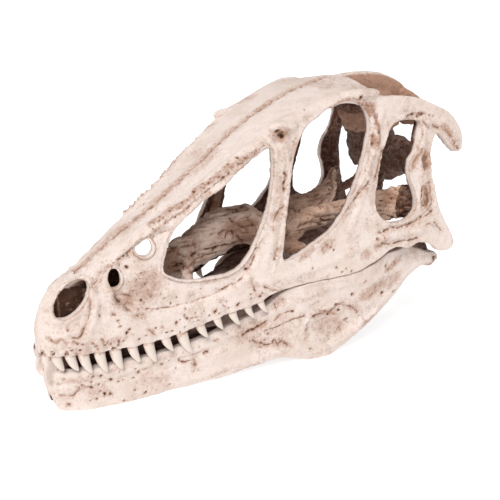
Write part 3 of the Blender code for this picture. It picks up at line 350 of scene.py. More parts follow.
# Brown patches of the side wall: middle, radii, turn in degrees, strength
PATCHES = [
    ((0.216, 0.248), (0.056, 0.040), 30, 0.50), ((0.239, 0.218), (0.050, 0.020), 10, 0.30),
    ((0.056, 0.187), (0.035, 0.016), 20, 0.25), ((0.532, 0.536), (0.030, 0.022), 0, 0.55),
    ((0.639, 0.278), (0.030, 0.016), 25, 0.45), ((0.587, 0.268), (0.035, 0.012), 30, 0.45),
    ((0.744, 0.244), (0.022, 0.016), 20, 0.45), ((0.784, 0.261), (0.030, 0.016), 20, 0.45),
    ((0.929, 0.442), (0.020, 0.036), 0, 0.60), ((0.756, 0.571), (0.020, 0.030), -50, 0.75),
    ((0.770, 0.503), (0.012, 0.024), 0, 0.75), ((0.765, 0.368), (0.012, 0.040), 0, 0.30),
    ((0.993, 0.507), (0.036, 0.014), -45, 0.55), ((0.924, 0.358), (0.016, 0.044), 4, 0.60),
    ((0.358, 0.424), (0.020, 0.012), 35, 0.45), ((0.578, 0.214), (0.034, 0.012), 10, 0.30),
    ((0.636, 0.205), (0.020, 0.008), 10, 0.35), ((0.600, 0.568), (0.014, 0.012), 0, 0.35),
    ((0.448, 0.218), (0.030, 0.012), -30, 0.35), ((0.114, 0.143), (0.080, 0.010), 8, 0.35),
    ((0.072, 0.122), (0.060, 0.012), 0, 0.40), ((0.169, 0.224), (0.032, 0.016), -28, 0.35),
    ((0.566, 0.501), (0.010, 0.030), -10, 0.40), ((0.356, 0.238), (0.060, 0.006), 4, 0.35),
    ((0.445, 0.274), (0.014, 0.034), -30, 0.40), ((0.255, 0.275), (0.016, 0.020), -40, 0.25),
    ((0.528, 0.430), (0.022, 0.110), -6, 0.34), ((0.764, 0.440), (0.020, 0.110), 12, 0.34),
    ((0.060, 0.150), (0.070, 0.032), 4, 0.34), ((0.925, 0.420), (0.026, 0.120), -4, 0.34),
]  # fmt: skip
# Depressed floor in front of and below the large window of the snout
WINDOW_FLOOR = [
    (0.162, 0.314), (0.148, 0.262), (0.145, 0.236), (0.156, 0.212), (0.180, 0.198), (0.250, 0.188),
    (0.330, 0.195), (0.400, 0.212), (0.445, 0.240), (0.470, 0.300), (0.400, 0.330), (0.300, 0.370),
    (0.235, 0.356),
]  # fmt: skip
WINDOW_FLOOR_DEPTH = 0.0080
# Small nutrient holes: rows of (first x, last x, count, height over the gum line, radius)
HOLE_ROWS = [(0.105, 0.470, 15, 0.014, 0.0022), (0.115, 0.440, 7, 0.030, 0.0018)]

JAW_GROOVES = [
    ([(0.434, 0.095), (0.447, 0.102), (0.463, 0.105), (0.475, 0.111),
     (0.489, 0.116)], 0.0036, 0.0065, 1.0),
    ([(0.457, 0.078), (0.469, 0.070), (0.485, 0.064), (0.505, 0.061)], 0.0034, 0.0065, 1.0),
    ([(0.505, 0.061), (0.511, 0.070), (0.517, 0.057), (0.526, 0.064),
     (0.541, 0.052)], 0.0028, 0.0055, 1.0),
    ([(0.510, 0.118), (0.523, 0.129), (0.537, 0.134), (0.553, 0.137)], 0.0022, 0.0030, 0.8),
    ([(0.487, 0.097), (0.508, 0.101), (0.530, 0.106), (0.553, 0.113),
     (0.579, 0.119)], 0.0022, 0.0028, 0.7),
    ([(0.507, 0.167), (0.511, 0.157), (0.515, 0.147), (0.521, 0.159)], 0.0026, 0.0026, 0.7),
    ([(0.030, 0.033), (0.041, 0.034), (0.054, 0.035), (0.063, 0.046), (0.067, 0.052),
     (0.090, 0.047)], 0.0020, 0.0028, 0.8),
    ([(0.607, 0.113), (0.623, 0.115), (0.644, 0.113), (0.659, 0.118), (0.670, 0.127), (0.681, 0.127),
     (0.707, 0.117), (0.728, 0.101)], 0.0046, 0.0055, 0.8),
    ([(0.663, 0.133), (0.683, 0.132)], 0.0020, 0.0030, 0.9),
    ([(0.595, 0.141), (0.617, 0.145)], 0.0022, 0.0026, 0.6),
    ([(0.584, 0.082), (0.591, 0.100), (0.604, 0.112)], 0.0030, 0.0024, 0.5),
    ([(0.601, 0.031), (0.611, 0.024)], 0.0020, 0.0022, 0.6),
    ([(0.387, 0.071), (0.379, 0.063)], 0.0020, 0.0020, 0.5),
    ([(0.279, 0.068), (0.290, 0.063), (0.304, 0.062), (0.308, 0.056)], 0.0020, 0.0022, 0.6),
    ([(0.315, 0.060), (0.316, 0.043), (0.311, 0.038)], 0.0036, 0.0030, 0.7),
    ([(0.956, 0.171), (0.983, 0.170), (0.986, 0.179)], 0.0024, 0.0035, 0.9),
    ([(0.403, 0.010), (0.412, 0.013), (0.432, 0.012)], 0.0022, 0.0022, 0.6),
    ([(0.755, 0.071), (0.742, 0.059)], 0.0026, 0.0022, 0.5),
    ([(0.696, 0.084), (0.708, 0.071)], 0.0024, 0.0024, 0.6),
]  # fmt: skip
JAW_RIDGES = [
    ([(0.510, 0.172), (0.530, 0.183), (0.556, 0.190), (0.592, 0.194), (0.645, 0.194),
     (0.702, 0.190)], 0.0050, 0.0022, 0.1, 0.0),
    ([(0.580, 0.073), (0.581, 0.089), (0.590, 0.104), (0.605, 0.117)], 0.0050, 0.0026, 0.1, 0.0),
    ([(0.606, 0.123), (0.633, 0.127), (0.655, 0.131), (0.669, 0.137), (0.692, 0.132), (0.719, 0.118),
     (0.738, 0.099), (0.743, 0.074)], 0.0050, 0.0034, 0.2, 0.0),
    ([(0.629, 0.020), (0.685, 0.034), (0.741, 0.061), (0.786, 0.084)], 0.0080, 0.0022, 0.1, 0.0),
    ([(0.450, 0.091), (0.475, 0.098), (0.508, 0.107), (0.546, 0.114)], 0.0050, 0.0018, 0.1, 0.0),
]  # fmt: skip
JAW_HOLLOWS = [
    ((0.659, 0.076), (0.070, 0.036), -14, 0.0070, 0.10),
    ((0.500, 0.147), (0.030, 0.010), 20, 0.0020, 0.10),
    ((0.156, 0.028), (0.160, 0.016), 6, 0.0014, 0.00),
    ((0.230, 0.060), (0.220, 0.011), 7, 0.0024, 0.00),
]
JAW_PITS = [
    (0.129, 0.056, 0.0026, 0.0060, 1.00), (0.106, 0.035, 0.0024, 0.0040, 0.80),
    (0.114, 0.029, 0.0022, 0.0050, 1.00), (0.126, 0.026, 0.0024, 0.0050, 1.00),
    (0.199, 0.012, 0.0026, 0.0060, 1.00), (0.088, 0.048, 0.0022, 0.0040, 0.80),
    (0.103, 0.050, 0.0024, 0.0040, 0.80), (0.083, 0.020, 0.0024, 0.0030, 0.60),
    (0.097, 0.020, 0.0026, 0.0030, 0.60), (0.041, 0.013, 0.0036, 0.0040, 0.70),
    (0.189, 0.060, 0.0024, 0.0050, 0.90), (0.151, 0.004, 0.0022, 0.0030, 0.60),
    (0.177, 0.023, 0.0020, 0.0030, 0.60), (0.177, 0.049, 0.0020, 0.0030, 0.60),
    (0.029, 0.058, 0.0036, 0.0030, 0.60), (0.345, 0.073, 0.0032, 0.0050, 0.90),
    (0.339, 0.071, 0.0024, 0.0040, 0.70), (0.369, 0.098, 0.0046, 0.0030, 0.45),
    (0.288, 0.063, 0.0022, 0.0040, 0.80), (0.316, 0.051, 0.0040, 0.0040, 0.70),
    (0.271, 0.052, 0.0022, 0.0030, 0.60), (0.242, 0.068, 0.0024, 0.0030, 0.60),
    (0.552, 0.134, 0.0026, 0.0050, 1.00), (0.494, 0.088, 0.0034, 0.0030, 0.60),
    (0.712, 0.147, 0.0026, 0.0050, 1.00), (0.748, 0.173, 0.0034, 0.0040, 0.70),
    (0.736, 0.086, 0.0030, 0.0030, 0.50), (0.703, 0.083, 0.0034, 0.0030, 0.60),
    (0.808, 0.130, 0.0040, 0.0040, 0.70), (0.845, 0.127, 0.0036, 0.0030, 0.70),
    (0.610, 0.113, 0.0040, 0.0060, 1.00), (0.666, 0.132, 0.0030, 0.0060, 1.00),
    (0.676, 0.114, 0.0034, 0.0050, 1.00), (0.649, 0.107, 0.0030, 0.0040, 0.90),
    (0.637, 0.120, 0.0030, 0.0040, 0.90), (0.986, 0.185, 0.0050, 0.0050, 0.85),
    (0.988, 0.178, 0.0030, 0.0050, 0.95), (0.254, 0.020, 0.0020, 0.0030, 0.50),
    (0.215, 0.020, 0.0020, 0.0030, 0.50), (0.145, 0.048, 0.0020, 0.0030, 0.60),
    (0.154, 0.049, 0.0020, 0.0030, 0.60), (0.089, 0.059, 0.0024, 0.0040, 0.80),
    (0.110, 0.068, 0.0030, 0.0050, 0.95), (0.071, 0.056, 0.0030, 0.0030, 0.50),
    (0.093, 0.072, 0.0024, 0.0040, 0.80), (0.414, 0.110, 0.0020, 0.0030, 0.50),
    (0.449, 0.078, 0.0020, 0.0040, 0.80), (0.601, 0.029, 0.0024, 0.0030, 0.80),
    (0.818, 0.197, 0.0040, 0.0040, 0.80), (0.828, 0.187, 0.0030, 0.0040, 0.70),
    (0.850, 0.197, 0.0030, 0.0030, 0.60),
]  # fmt: skip
JAW_PATCHES = [
    ((0.659, 0.076), (0.066, 0.034), -14, 0.42), ((0.590, 0.078), (0.012, 0.034), 0, 0.35),
    ((0.644, 0.114), (0.046, 0.010), -20, 0.60), ((0.781, 0.147), (0.070, 0.022), 18, 0.50),
    ((0.842, 0.155), (0.040, 0.020), 25, 0.45), ((0.467, 0.116), (0.030, 0.012), -20, 0.50),
    ((0.523, 0.160), (0.022, 0.016), 20, 0.40), ((0.593, 0.169), (0.110, 0.014), 8, 0.22),
    # The thin strips just under the jaw's top edge at x 0.059, 0.150 and 0.248 are painted shade under the teeth.
    ((0.498, 0.066), (0.060, 0.010), 4, 0.45), ((0.059, 0.068), (0.070, 0.010), 4, 0.35),
    ((0.150, 0.079), (0.040, 0.010), 6, 0.30), ((0.248, 0.082), (0.040, 0.010), 8, 0.28),
    ((0.763, 0.067), (0.030, 0.010), 38, 0.45), ((0.445, 0.017), (0.060, 0.008), 10, 0.30),
    ((0.314, 0.051), (0.014, 0.014), 0, 0.35), ((0.083, 0.026), (0.050, 0.010), 4, 0.22),
    ((0.841, 0.194), (0.040, 0.012), 20, 0.60), ((0.371, 0.021), (0.050, 0.008), 8, 0.28),
]  # fmt: skip
JAW_HOLES = [(0.035, 0.400, 11, 0.018, 0.0020)]
JAW_EDGE = [(0.000, 0.086), (0.160, 0.089), (0.250, 0.095), (0.320, 0.105), (0.400, 0.124), (0.480, 0.141)]

# Cracks and knobs of the mouth's roof, as seen from the side: cracks as above; knobs by middle, reach and height
MOUTH_GROOVES = [
    ([(0.346, 0.314), (0.364, 0.320), (0.375, 0.334), (0.380, 0.342)], 0.0036, 0.0060, 1.0),
    ([(0.367, 0.305), (0.371, 0.289)], 0.0036, 0.0060, 1.0),
    ([(0.430, 0.312), (0.449, 0.317), (0.470, 0.304), (0.492, 0.285), (0.512, 0.266)], 0.0036, 0.0060, 1.0),
    ([(0.460, 0.342), (0.484, 0.322), (0.512, 0.305)], 0.0036, 0.0060, 0.9),
    ([(0.373, 0.336), (0.404, 0.349), (0.430, 0.367)], 0.0036, 0.0060, 0.9),
    ([(0.301, 0.298), (0.338, 0.296), (0.374, 0.298)], 0.0036, 0.0060, 0.9),
    ([(0.446, 0.303), (0.457, 0.312), (0.476, 0.302)], 0.0036, 0.0060, 0.9),
    ([(0.328, 0.281), (0.350, 0.271), (0.370, 0.275)], 0.0036, 0.0060, 0.9),
    ([(0.312, 0.263), (0.350, 0.258), (0.389, 0.264)], 0.0036, 0.0060, 0.9),
    ([(0.512, 0.331), (0.526, 0.311), (0.540, 0.278)], 0.0036, 0.0060, 1.0),
    ([(0.416, 0.277), (0.443, 0.284), (0.484, 0.279)], 0.0036, 0.0060, 0.9),
    ([(0.619, 0.340), (0.641, 0.350), (0.671, 0.351), (0.702, 0.339)], 0.0034, 0.0050, 0.8),
    ([(0.612, 0.324), (0.642, 0.329), (0.680, 0.320), (0.697, 0.304)], 0.0034, 0.0050, 0.8),
    ([(0.627, 0.302), (0.657, 0.310), (0.691, 0.298)], 0.0034, 0.0050, 0.8),
    ([(0.718, 0.351), (0.747, 0.334), (0.782, 0.335)], 0.0034, 0.0050, 0.8),
    ([(0.704, 0.291), (0.736, 0.279), (0.755, 0.295)], 0.0034, 0.0050, 0.8),
]  # fmt: skip
MOUTH_KNOBS = [
    (0.386, 0.318, 0.009, 0.0050), (0.456, 0.299, 0.010, 0.0060), (0.423, 0.344, 0.012, 0.0050),
    (0.491, 0.332, 0.008, 0.0040), (0.370, 0.286, 0.010, 0.0040), (0.540, 0.290, 0.012, 0.0050),
    (0.642, 0.333, 0.010, 0.0045), (0.699, 0.331, 0.012, 0.0045), (0.600, 0.300, 0.012, 0.0040),
]  # fmt: skip


def smooth_points(points, closed, per_span=4):
    """Points on a Catmull-Rom curve through the given ones, whatever their number of columns."""
    control = np.array(points, float)
    count = len(control)
    found = []
    for span in range(count if closed else count - 1):
        around = [span - 1, span, span + 1, span + 2]
        picks = [i % count if closed else min(max(i, 0), count - 1) for i in around]
        before, start, end, after = control[picks]
        for step in range(per_span):
            t = step / per_span
            bend = 2 * before - 5 * start + 4 * end - after
            pull = 3 * start - before - 3 * end + after
            found.append(0.5 * (2 * start + (end - before) * t + bend * t * t + pull * t**3))
    if not closed:
        found.append(control[-1])
    return np.array(found)


def ellipse(middle, radii, turn, count=20):
    """Points (x, z) round an ellipse whose long axis is turned from the x axis."""
    angle = math.radians(turn)
    around = np.linspace(0, 2 * math.pi, count, endpoint=False)
    along, across = radii[0] * np.cos(around), radii[1] * np.sin(around)
    return np.stack(
        [
            middle[0] + along * math.cos(angle) - across * math.sin(angle),
            middle[1] + along * math.sin(angle) + across * math.cos(angle),
        ],
        -1,
    )


def choose(*objects):
    """Selects just these objects, the last one active."""
    bpy.ops.object.select_all(action="DESELECT")
    for obj in objects:
        obj.select_set(True)
        bpy.context.view_layer.objects.active = obj


def placed(name, data):
    obj = bpy.data.objects.new(name, data)
    bpy.context.scene.collection.objects.link(obj)
    return obj


def as_mesh(obj):
    choose(obj)
    bpy.ops.object.convert(target="MESH")
    return bpy.context.view_layer.objects.active


def mesh_of(points, faces):
    """An object from points in skull lengths and faces."""
    mesh = bpy.data.meshes.new("shape")
    mesh.from_pydata([tuple(p) for p in np.asarray(points, float) * SKULL_LENGTH], [], faces)
    return placed("shape", mesh)


def coordinates(obj):
    found = np.empty(len(obj.data.vertices) * 3, np.float32)
    obj.data.vertices.foreach_get("co", found)
    return found.reshape(-1, 3).astype(float) / SKULL_LENGTH


def set_coordinates(obj, points):
    obj.data.vertices.foreach_set("co", (np.asarray(points) * SKULL_LENGTH).astype(np.float32).ravel())
    obj.data.update()


def plate(outline, holes, outer, inner):
    """A flat slab in the side plane, as points (x, depth, z): an outline with holes, between two depths."""
    curve = bpy.data.curves.new("plate", "CURVE")
    curve.dimensions = "2D"
    curve.fill_mode = "BOTH"
    curve.extrude = (inner - outer) / 2 * SKULL_LENGTH
    for loop in [outline, *holes]:
        points = smooth_points(loop, closed=True, per_span=6)
        spline = curve.splines.new("POLY")
        spline.points.add(len(points) - 1)
        for target, (x, z) in zip(spline.points, points):
            target.co = (x * SKULL_LENGTH, z * SKULL_LENGTH, 0, 1)
        spline.use_cyclic_u = True
    obj = as_mesh(placed("plate", curve))
    flat = coordinates(obj)
    set_coordinates(obj, np.stack([flat[:, 0], (outer + inner) / 2 - flat[:, 2], flat[:, 1]], -1))
    return obj


def tube(points):
    """A round bar through (x, y, z, radius), with closed ends."""
    curve = bpy.data.curves.new("tube", "CURVE")
    curve.dimensions = "3D"
    curve.bevel_depth = SKULL_LENGTH
    curve.bevel_resolution = 5
    curve.use_fill_caps = True
    path = smooth_points(points, closed=False, per_span=8)
    spline = curve.splines.new("POLY")
    spline.points.add(len(path) - 1)
    for target, (x, y, z, radius) in zip(spline.points, path):
        target.co = (x * SKULL_LENGTH, y * SKULL_LENGTH, z * SKULL_LENGTH, 1)
        target.radius = radius
    return as_mesh(placed("tube", curve))


def blade(points, up=(0, 0, 1), sides=24):
    """A flattened bar through (x, y, z, height, thickness): its height lies along up as far as the path allows."""
    path = smooth_points(points, closed=False, per_span=8)
    upward = Vector(up)
    rings = []
    for index, row in enumerate(path):
        ahead = Vector(path[min(index + 1, len(path) - 1)][:3])
        behind = Vector(path[max(index - 1, 0)][:3])
        along = (ahead - behind).normalized()
        across = along.cross(upward).normalized()
        tall = across.cross(along).normalized()
        middle = Vector(row[:3])
        for step in range(sides):
            around = 2 * math.pi * step / sides
            rings.append(middle + tall * row[3] * math.cos(around) + across * row[4] * math.sin(around))
    faces = []
    for ring in range(len(path) - 1):
        for step in range(sides):
            following = (step + 1) % sides
            low, high = ring * sides, (ring + 1) * sides
            faces.append((low + step, low + following, high + following, high + step))
    faces.append(tuple(reversed(range(sides))))
    faces.append(tuple(range((len(path) - 1) * sides, len(path) * sides)))
    return mesh_of(rings, faces)


def ball(middle, radii):
    """An ellipsoid."""
    bpy.ops.object.select_all(action="DESELECT")
    bpy.ops.mesh.primitive_uv_sphere_add(segments=40, ring_count=24, radius=SKULL_LENGTH)
    obj = bpy.context.view_layer.objects.active
    set_coordinates(obj, coordinates(obj) * np.array(radii) + np.array(middle))
    return obj


def outward(obj):
    choose(obj)
    bpy.ops.object.mode_set(mode="EDIT")
    bpy.ops.mesh.select_all(action="SELECT")
    bpy.ops.mesh.normals_make_consistent(inside=False)
    bpy.ops.object.mode_set(mode="OBJECT")


def joined(objects):
    """Several objects as one, each still a body of its own, all facing out."""
    choose(*objects)
    if len(objects) > 1:
        bpy.ops.object.join()
    obj = bpy.context.view_layer.objects.active
    outward(obj)
    return obj


def fused(objects, voxel, rounding):
    """Overlapping closed objects as one body with soft edges."""
    obj = joined(objects)
    remesh = obj.modifiers.new("Fuse", "REMESH")
    remesh.mode = "VOXEL"
    remesh.voxel_size = voxel
    bpy.ops.object.modifier_apply(modifier="Fuse")
    if rounding:
        soften = obj.modifiers.new("Soften", "SMOOTH")
        soften.factor = 0.5
        soften.iterations = rounding
        bpy.ops.object.modifier_apply(modifier="Soften")
    return obj


def bent(obj, half_width):
    """A flat wall, with its depths, laid on the left side of the plan."""
    flat = coordinates(obj)
    depth = flat[:, 1] - half_width(flat[:, 0], flat[:, 2])
    set_coordinates(obj, np.stack([flat[:, 0], depth, flat[:, 2]], -1))
    return obj


def mirrored(obj):
    """A copy on the right side."""
    copy = placed("mirrored", obj.data.copy())
    set_coordinates(copy, coordinates(copy) * np.array((1, -1, 1)))
    copy.data.flip_normals()
    return copy


# ---------------------------------------------------------------- walls, roof and inner bones
def wall(outline, openings, bars, bosses, half_width):
    """The left wall of the skull or jaw: a plate with its openings, bars and bosses, laid on the plan's curve."""
    parts = [plate(outline, openings, 0.0, WALL)]
    parts += [ball((x, 0.0, z), reach) for x, z, *reach in bosses]
    for bar in bars:
        parts.append(tube([(x, radius - PROUD, z, radius) for x, z, radius in bar]))
    return bent(fused(parts, VOXEL, 0), half_width)


def roof():
    """The roof of the snout and brow: a low arch between the two walls."""
    profile = smooth_points(MIDLINE, closed=False, per_span=8)
    columns = 33
    points, faces = [], []
    for layer in (0.0, -ROOF):
        for x, z in profile:
            width = float(skull_half_width(x, z)) - WALL * 0.4
            crown = float(np.interp(x, *zip(*CROWN)))
            for column in range(columns):
                side = 2 * column / (columns - 1) - 1
                points.append((x, side * width, z - crown * side**2 + layer))
    rows = len(profile)
    sheet = rows * columns
    for row in range(rows - 1):
        for column in range(columns - 1):
            corner = row * columns + column
            quad = (corner, corner + 1, corner + columns + 1, corner + columns)
            faces += [quad, tuple(sheet + index for index in reversed(quad))]
    rim = [*range(columns - 1), *(row * columns + columns - 1 for row in range(rows - 1))]
    rim += [*range(sheet - 1, sheet - columns, -1), *(row * columns for row in range(rows - 1, 0, -1))]
    for here, there in zip(rim, rim[1:] + rim[:1]):
        faces.append((there, here, sheet + here, sheet + there))
    return mesh_of(points, faces)


def snout_floor():
    """The bony palate between the tooth rows, rising backwards, and the solid tip of the snout."""
    edge = [(x, 0.006 - float(skull_half_width(x, 0.17))) for x in np.linspace(0.006, 0.285, 30)]
    outline = edge + [(x, -y) for x, y in reversed(edge)]
    count = len(outline)
    points = [(x, y, 0.168 + 0.10 * x + layer) for layer in (0.0, SHELF) for x, y in outline]
    faces = [tuple(reversed(range(count))), tuple(range(count, 2 * count))]
    faces += [(i, (i + 1) % count, count + (i + 1) % count, count + i) for i in range(count)]
    return [mesh_of(points, faces), ball((0.022, 0.0, 0.172), (0.020, 0.022, 0.040))]


def rear_roof():
    """The back of the skull: the crest, the walls of the temporal pits and the crests that run to the cheeks."""
    shapes = [
        blade([(0.735, 0, 0.606, 0.028, 0.100), (0.765, 0, 0.606, 0.031, 0.060), (0.805, 0, 0.605, 0.036, 0.024),
               (0.870, 0, 0.606, 0.036, 0.022), (0.920, 0, 0.602, 0.034, 0.024), (0.985, 0, 0.578, 0.030, 0.032)]),
        ball((0.900, 0, 0.535), (0.088, 0.058, 0.068)),
    ]  # fmt: skip
    for side in (-1, 1):
        shapes += [
            blade([(0.768, side * 0.030, 0.596, 0.032, 0.026), (0.768, side * 0.080, 0.590, 0.032, 0.022),
                   (0.786, side * 0.134, 0.588, 0.024, 0.020)]),
            blade([(0.985, side * 0.005, 0.560, 0.044, 0.016), (0.980, side * 0.060, 0.550, 0.040, 0.015),
                   (0.962, side * 0.110, 0.545, 0.034, 0.015), (0.945, side * 0.150, 0.545, 0.028, 0.016)]),
        ]  # fmt: skip
    return shapes


def braincase():
    """The braincase under the crest, with its wings, its ball joint for the neck and its struts to the palate."""
    shapes = [
        ball((0.905, 0, 0.478), (0.068, 0.048, 0.078)),
        ball((0.968, 0, 0.422), (0.060, 0.078, 0.058)),
        ball((1.024, 0, 0.405), (0.018, 0.020, 0.018)),
    ]
    for side in (-1, 1):
        shapes += [
            blade([(0.955, side * 0.020, 0.450, 0.036, 0.016), (0.962, side * 0.062, 0.428, 0.034, 0.012),
                   (0.958, side * 0.098, 0.412, 0.032, 0.010), (0.952, side * 0.119, 0.402, 0.028, 0.009)]),
            blade([(0.935, side * 0.012, 0.400, 0.022, 0.014), (0.905, side * 0.034, 0.362, 0.016, 0.012),
                   (0.862, side * 0.066, 0.335, 0.014, 0.012)]),
        ]  # fmt: skip
    return shapes


def palate():
    """The roof of the mouth: a deep keel from the snout's floor, parting into two arches that reach the quadrates."""
    shapes = [
        blade([(0.262, 0, 0.205, 0.022, 0.022), (0.330, 0, 0.262, 0.040, 0.020), (0.400, 0, 0.288, 0.046, 0.024),
               (0.460, 0, 0.312, 0.050, 0.030), (0.520, 0, 0.310, 0.044, 0.030), (0.580, 0, 0.285, 0.026, 0.040)]),
    ]  # fmt: skip
    for side in (-1, 1):
        shapes += [
            blade([(0.540, side * 0.010, 0.275, 0.022, 0.034), (0.610, side * 0.034, 0.285, 0.024, 0.030),
                   (0.680, side * 0.048, 0.315, 0.026, 0.024), (0.760, side * 0.058, 0.318, 0.026, 0.018),
                   (0.840, side * 0.085, 0.324, 0.038, 0.012), (0.918, side * 0.150, 0.339, 0.044, 0.012)]),
            blade([(0.560, side * 0.030, 0.272, 0.020, 0.024), (0.600, side * 0.080, 0.262, 0.018, 0.022),
                   (0.620, side * 0.138, 0.245, 0.018, 0.020)]),
            blade([(0.360, side * 0.004, 0.268, 0.018, 0.016), (0.330, side * 0.050, 0.232, 0.016, 0.014),
                   (0.330, side * 0.100, 0.205, 0.016, 0.014)]),
        ]  # fmt: skip
    return shapes




# ---------------------------------------------------------------- carving
def ramp(values, low, high):
    """0 at low, 1 at high, smooth between; low may be above high."""
    t = np.clip((values - low) / (high - low), 0.0, 1.0)
    return t * t * (3.0 - 2.0 * t)


class Grain:
    """Seeded soft noise in space, about -1 to 1."""

    def __init__(self, seed):
        self.table = np.random.default_rng(seed).uniform(-1, 1, (32, 32, 32))

    def at(self, points, size):
        """Noise at points whose blobs are about this size, one number or three."""
        where = points / np.asarray(size, float)
        cell = np.floor(where).astype(int)
        t = where - cell
        t = t * t * (3.0 - 2.0 * t)
        total = np.zeros(len(points))
        for corner in range(8):
            step = np.array((corner & 1, corner >> 1 & 1, corner >> 2 & 1))
            share = np.prod(np.where(step, t, 1.0 - t), axis=1)
            index = (cell + step) % 32
            total += share * self.table[index[:, 0], index[:, 1], index[:, 2]]
        return total


def distance_to(line, x, z):
    """How far each (x, z) is from a line of points, and how far along the line its nearest point lies."""
    path = smooth_points(line, closed=False, per_span=3)
    best = np.full(len(x), 9.0)
    along = np.zeros(len(x))
    run = 0.0
    for (ax, az), (bx, bz) in zip(path[:-1], path[1:]):
        length = math.hypot(bx - ax, bz - az)
        near = np.abs(x - (ax + bx) / 2) < length + 0.05
        t = np.clip(((x[near] - ax) * (bx - ax) + (z[near] - az) * (bz - az)) / length**2, 0, 1)
        gap = np.hypot(x[near] - ax - t * (bx - ax), z[near] - az - t * (bz - az))
        closer = gap < best[near]
        index = np.flatnonzero(near)[closer]
        best[index] = gap[closer]
        along[index] = run + t[closer] * length
        run += length
    return best, along


def inside(outline, x, z):
    """Whether each (x, z) lies inside a closed outline."""
    path = smooth_points(outline, closed=True, per_span=3)
    found = np.zeros(len(x), bool)
    for (ax, az), (bx, bz) in zip(path, np.roll(path, -1, axis=0)):
        if az != bz:
            crossing = (az > z) != (bz > z)
            found ^= crossing & (x < (bx - ax) * (z - az) / (bz - az) + ax)
    return found


def edge_distance(outline, x, z):
    closed = list(outline) + [outline[0]]
    return distance_to(closed, x, z)[0]


class Carving:
    """What the tables do to a surface: a lift along the surface, and how stained and how rusty it gets; the staining
    also carries painted shade.
    """

    def __init__(self, points, grain):
        self.lift = np.zeros(len(points))
        self.stain_and_shade = np.zeros(len(points))
        self.rust_and_shade = np.zeros(len(points))
        self.breaks = ramp(grain.at(points + 9.0, 0.0085), -0.40, 0.45)  # where a groove runs deep, 0 to 1

    def groove(self, weight, gap, width, depth, stain_and_shade):
        reach = width * (0.45 + 0.70 * self.breaks)
        cut = weight * np.exp(-((gap / reach) ** 2))
        self.lift -= cut * depth * (0.45 + 0.45 * self.breaks)
        self.stain_and_shade = np.maximum(self.stain_and_shade, cut**1.6 * stain_and_shade * (0.08 + 0.50 * self.breaks))
        self.rust_and_shade = np.maximum(self.rust_and_shade, weight * np.exp(-((gap / width / 3.6) ** 2)) * stain_and_shade * 0.50)

    def rim(self, weight, gap, width, height):
        """A raised lip round an opening, with a shallow furrow behind it and a browner edge."""
        lip = np.exp(-(((gap - width) / width) ** 2))
        furrow = np.exp(-(((gap - 3.2 * width) / width / 1.4) ** 2))
        self.lift += weight * height * (lip * (0.40 + 0.70 * self.breaks) - 0.45 * furrow)
        self.rust_and_shade = np.maximum(self.rust_and_shade, weight * np.maximum(0.50 * ramp(gap, 0.006, 0.0), 0.16 * furrow * self.breaks))

    def ridge(self, weight, gap, width, height, beads, rust_and_shade):
        crest = weight * np.exp(-((gap / width) ** 2))
        self.lift += crest * height * (1.0 + beads)
        self.rust_and_shade = np.maximum(self.rust_and_shade, crest * rust_and_shade)
        self.stain_and_shade = np.maximum(self.stain_and_shade, crest * rust_and_shade * ramp(-beads, 0.25, 0.6))

    def hollow(self, weight, reach, depth, stain_and_shade):
        dish = weight * ramp(reach, 1.15, 0.55)
        self.lift -= dish * depth
        self.stain_and_shade = np.maximum(self.stain_and_shade, dish * stain_and_shade)

    def patch(self, weight, reach, strength):
        self.rust_and_shade = np.maximum(self.rust_and_shade, weight * ramp(reach, 1.35, 0.35) * strength)

    def pit(self, weight, near, gap, size, depth, stain_and_shade):
        cut = weight[near] * np.exp(-((gap / size) ** 2))
        self.lift[near] -= cut * depth
        self.stain_and_shade[near] = np.maximum(self.stain_and_shade[near], cut * stain_and_shade)
        halo = weight[near] * np.exp(-((gap / size / 2.5) ** 2)) * stain_and_shade * 0.5
        self.rust_and_shade[near] = np.maximum(self.rust_and_shade[near], halo)


def oval_reach(x, z, middle, radii, turn):
    """How far out each (x, z) lies in a turned oval: 1 on its edge."""
    angle = math.radians(turn)
    dx, dz = x - middle[0], z - middle[1]
    along = dx * math.cos(angle) + dz * math.sin(angle)
    across = dz * math.cos(angle) - dx * math.sin(angle)
    return np.hypot(along / radii[0], across / radii[1])


def carve_side(carving, weight, x, z, beads, grooves, ridges, hollows, patches, pits):
    for line, width, depth, stain_and_shade in grooves:
        carving.groove(weight, distance_to(line, x, z)[0], width, depth, stain_and_shade)
    for line, width, height, roughness, rust_and_shade in ridges:
        carving.ridge(weight, distance_to(line, x, z)[0], width, height, beads * roughness, rust_and_shade)
    for middle, radii, turn, depth, stain_and_shade in hollows:
        carving.hollow(weight, oval_reach(x, z, middle, radii, turn), depth, stain_and_shade)
    for middle, radii, turn, strength in patches:
        carving.patch(weight, oval_reach(x, z, middle, radii, turn), strength)
    for hole_x, hole_z, size, depth, stain_and_shade in pits:
        near = np.flatnonzero((np.abs(x - hole_x) < 0.02) & (np.abs(z - hole_z) < 0.02))
        gap = np.hypot((x[near] - hole_x) * 0.85, z[near] - hole_z)
        carving.pit(weight, near, gap, size, depth, stain_and_shade)


def hole_row(rows, edge, seed):
    """Rows of small nutrient holes along the jaws, a little out of line."""
    rng = np.random.default_rng(seed)
    holes = []
    for first, last, count, height, radius in rows:
        for place in np.linspace(first, last, count):
            hole_x = place + rng.uniform(-0.006, 0.006)
            hole_z = float(np.interp(hole_x, *zip(*edge))) + height + rng.uniform(-0.004, 0.004)
            holes.append((hole_x, hole_z, radius * rng.uniform(0.7, 1.2), rng.uniform(0.002, 0.004), rng.uniform(0.2, 0.6)))
    return holes


def normals(obj):
    found = np.empty(len(obj.data.vertices) * 3, np.float32)
    obj.data.vertex_normals.foreach_get("vector", found)
    return found.reshape(-1, 3).astype(float)


def edge_pairs(obj):
    found = np.empty(len(obj.data.edges) * 2, np.int32)
    obj.data.edges.foreach_get("vertices", found)
    return found.reshape(-1, 2)


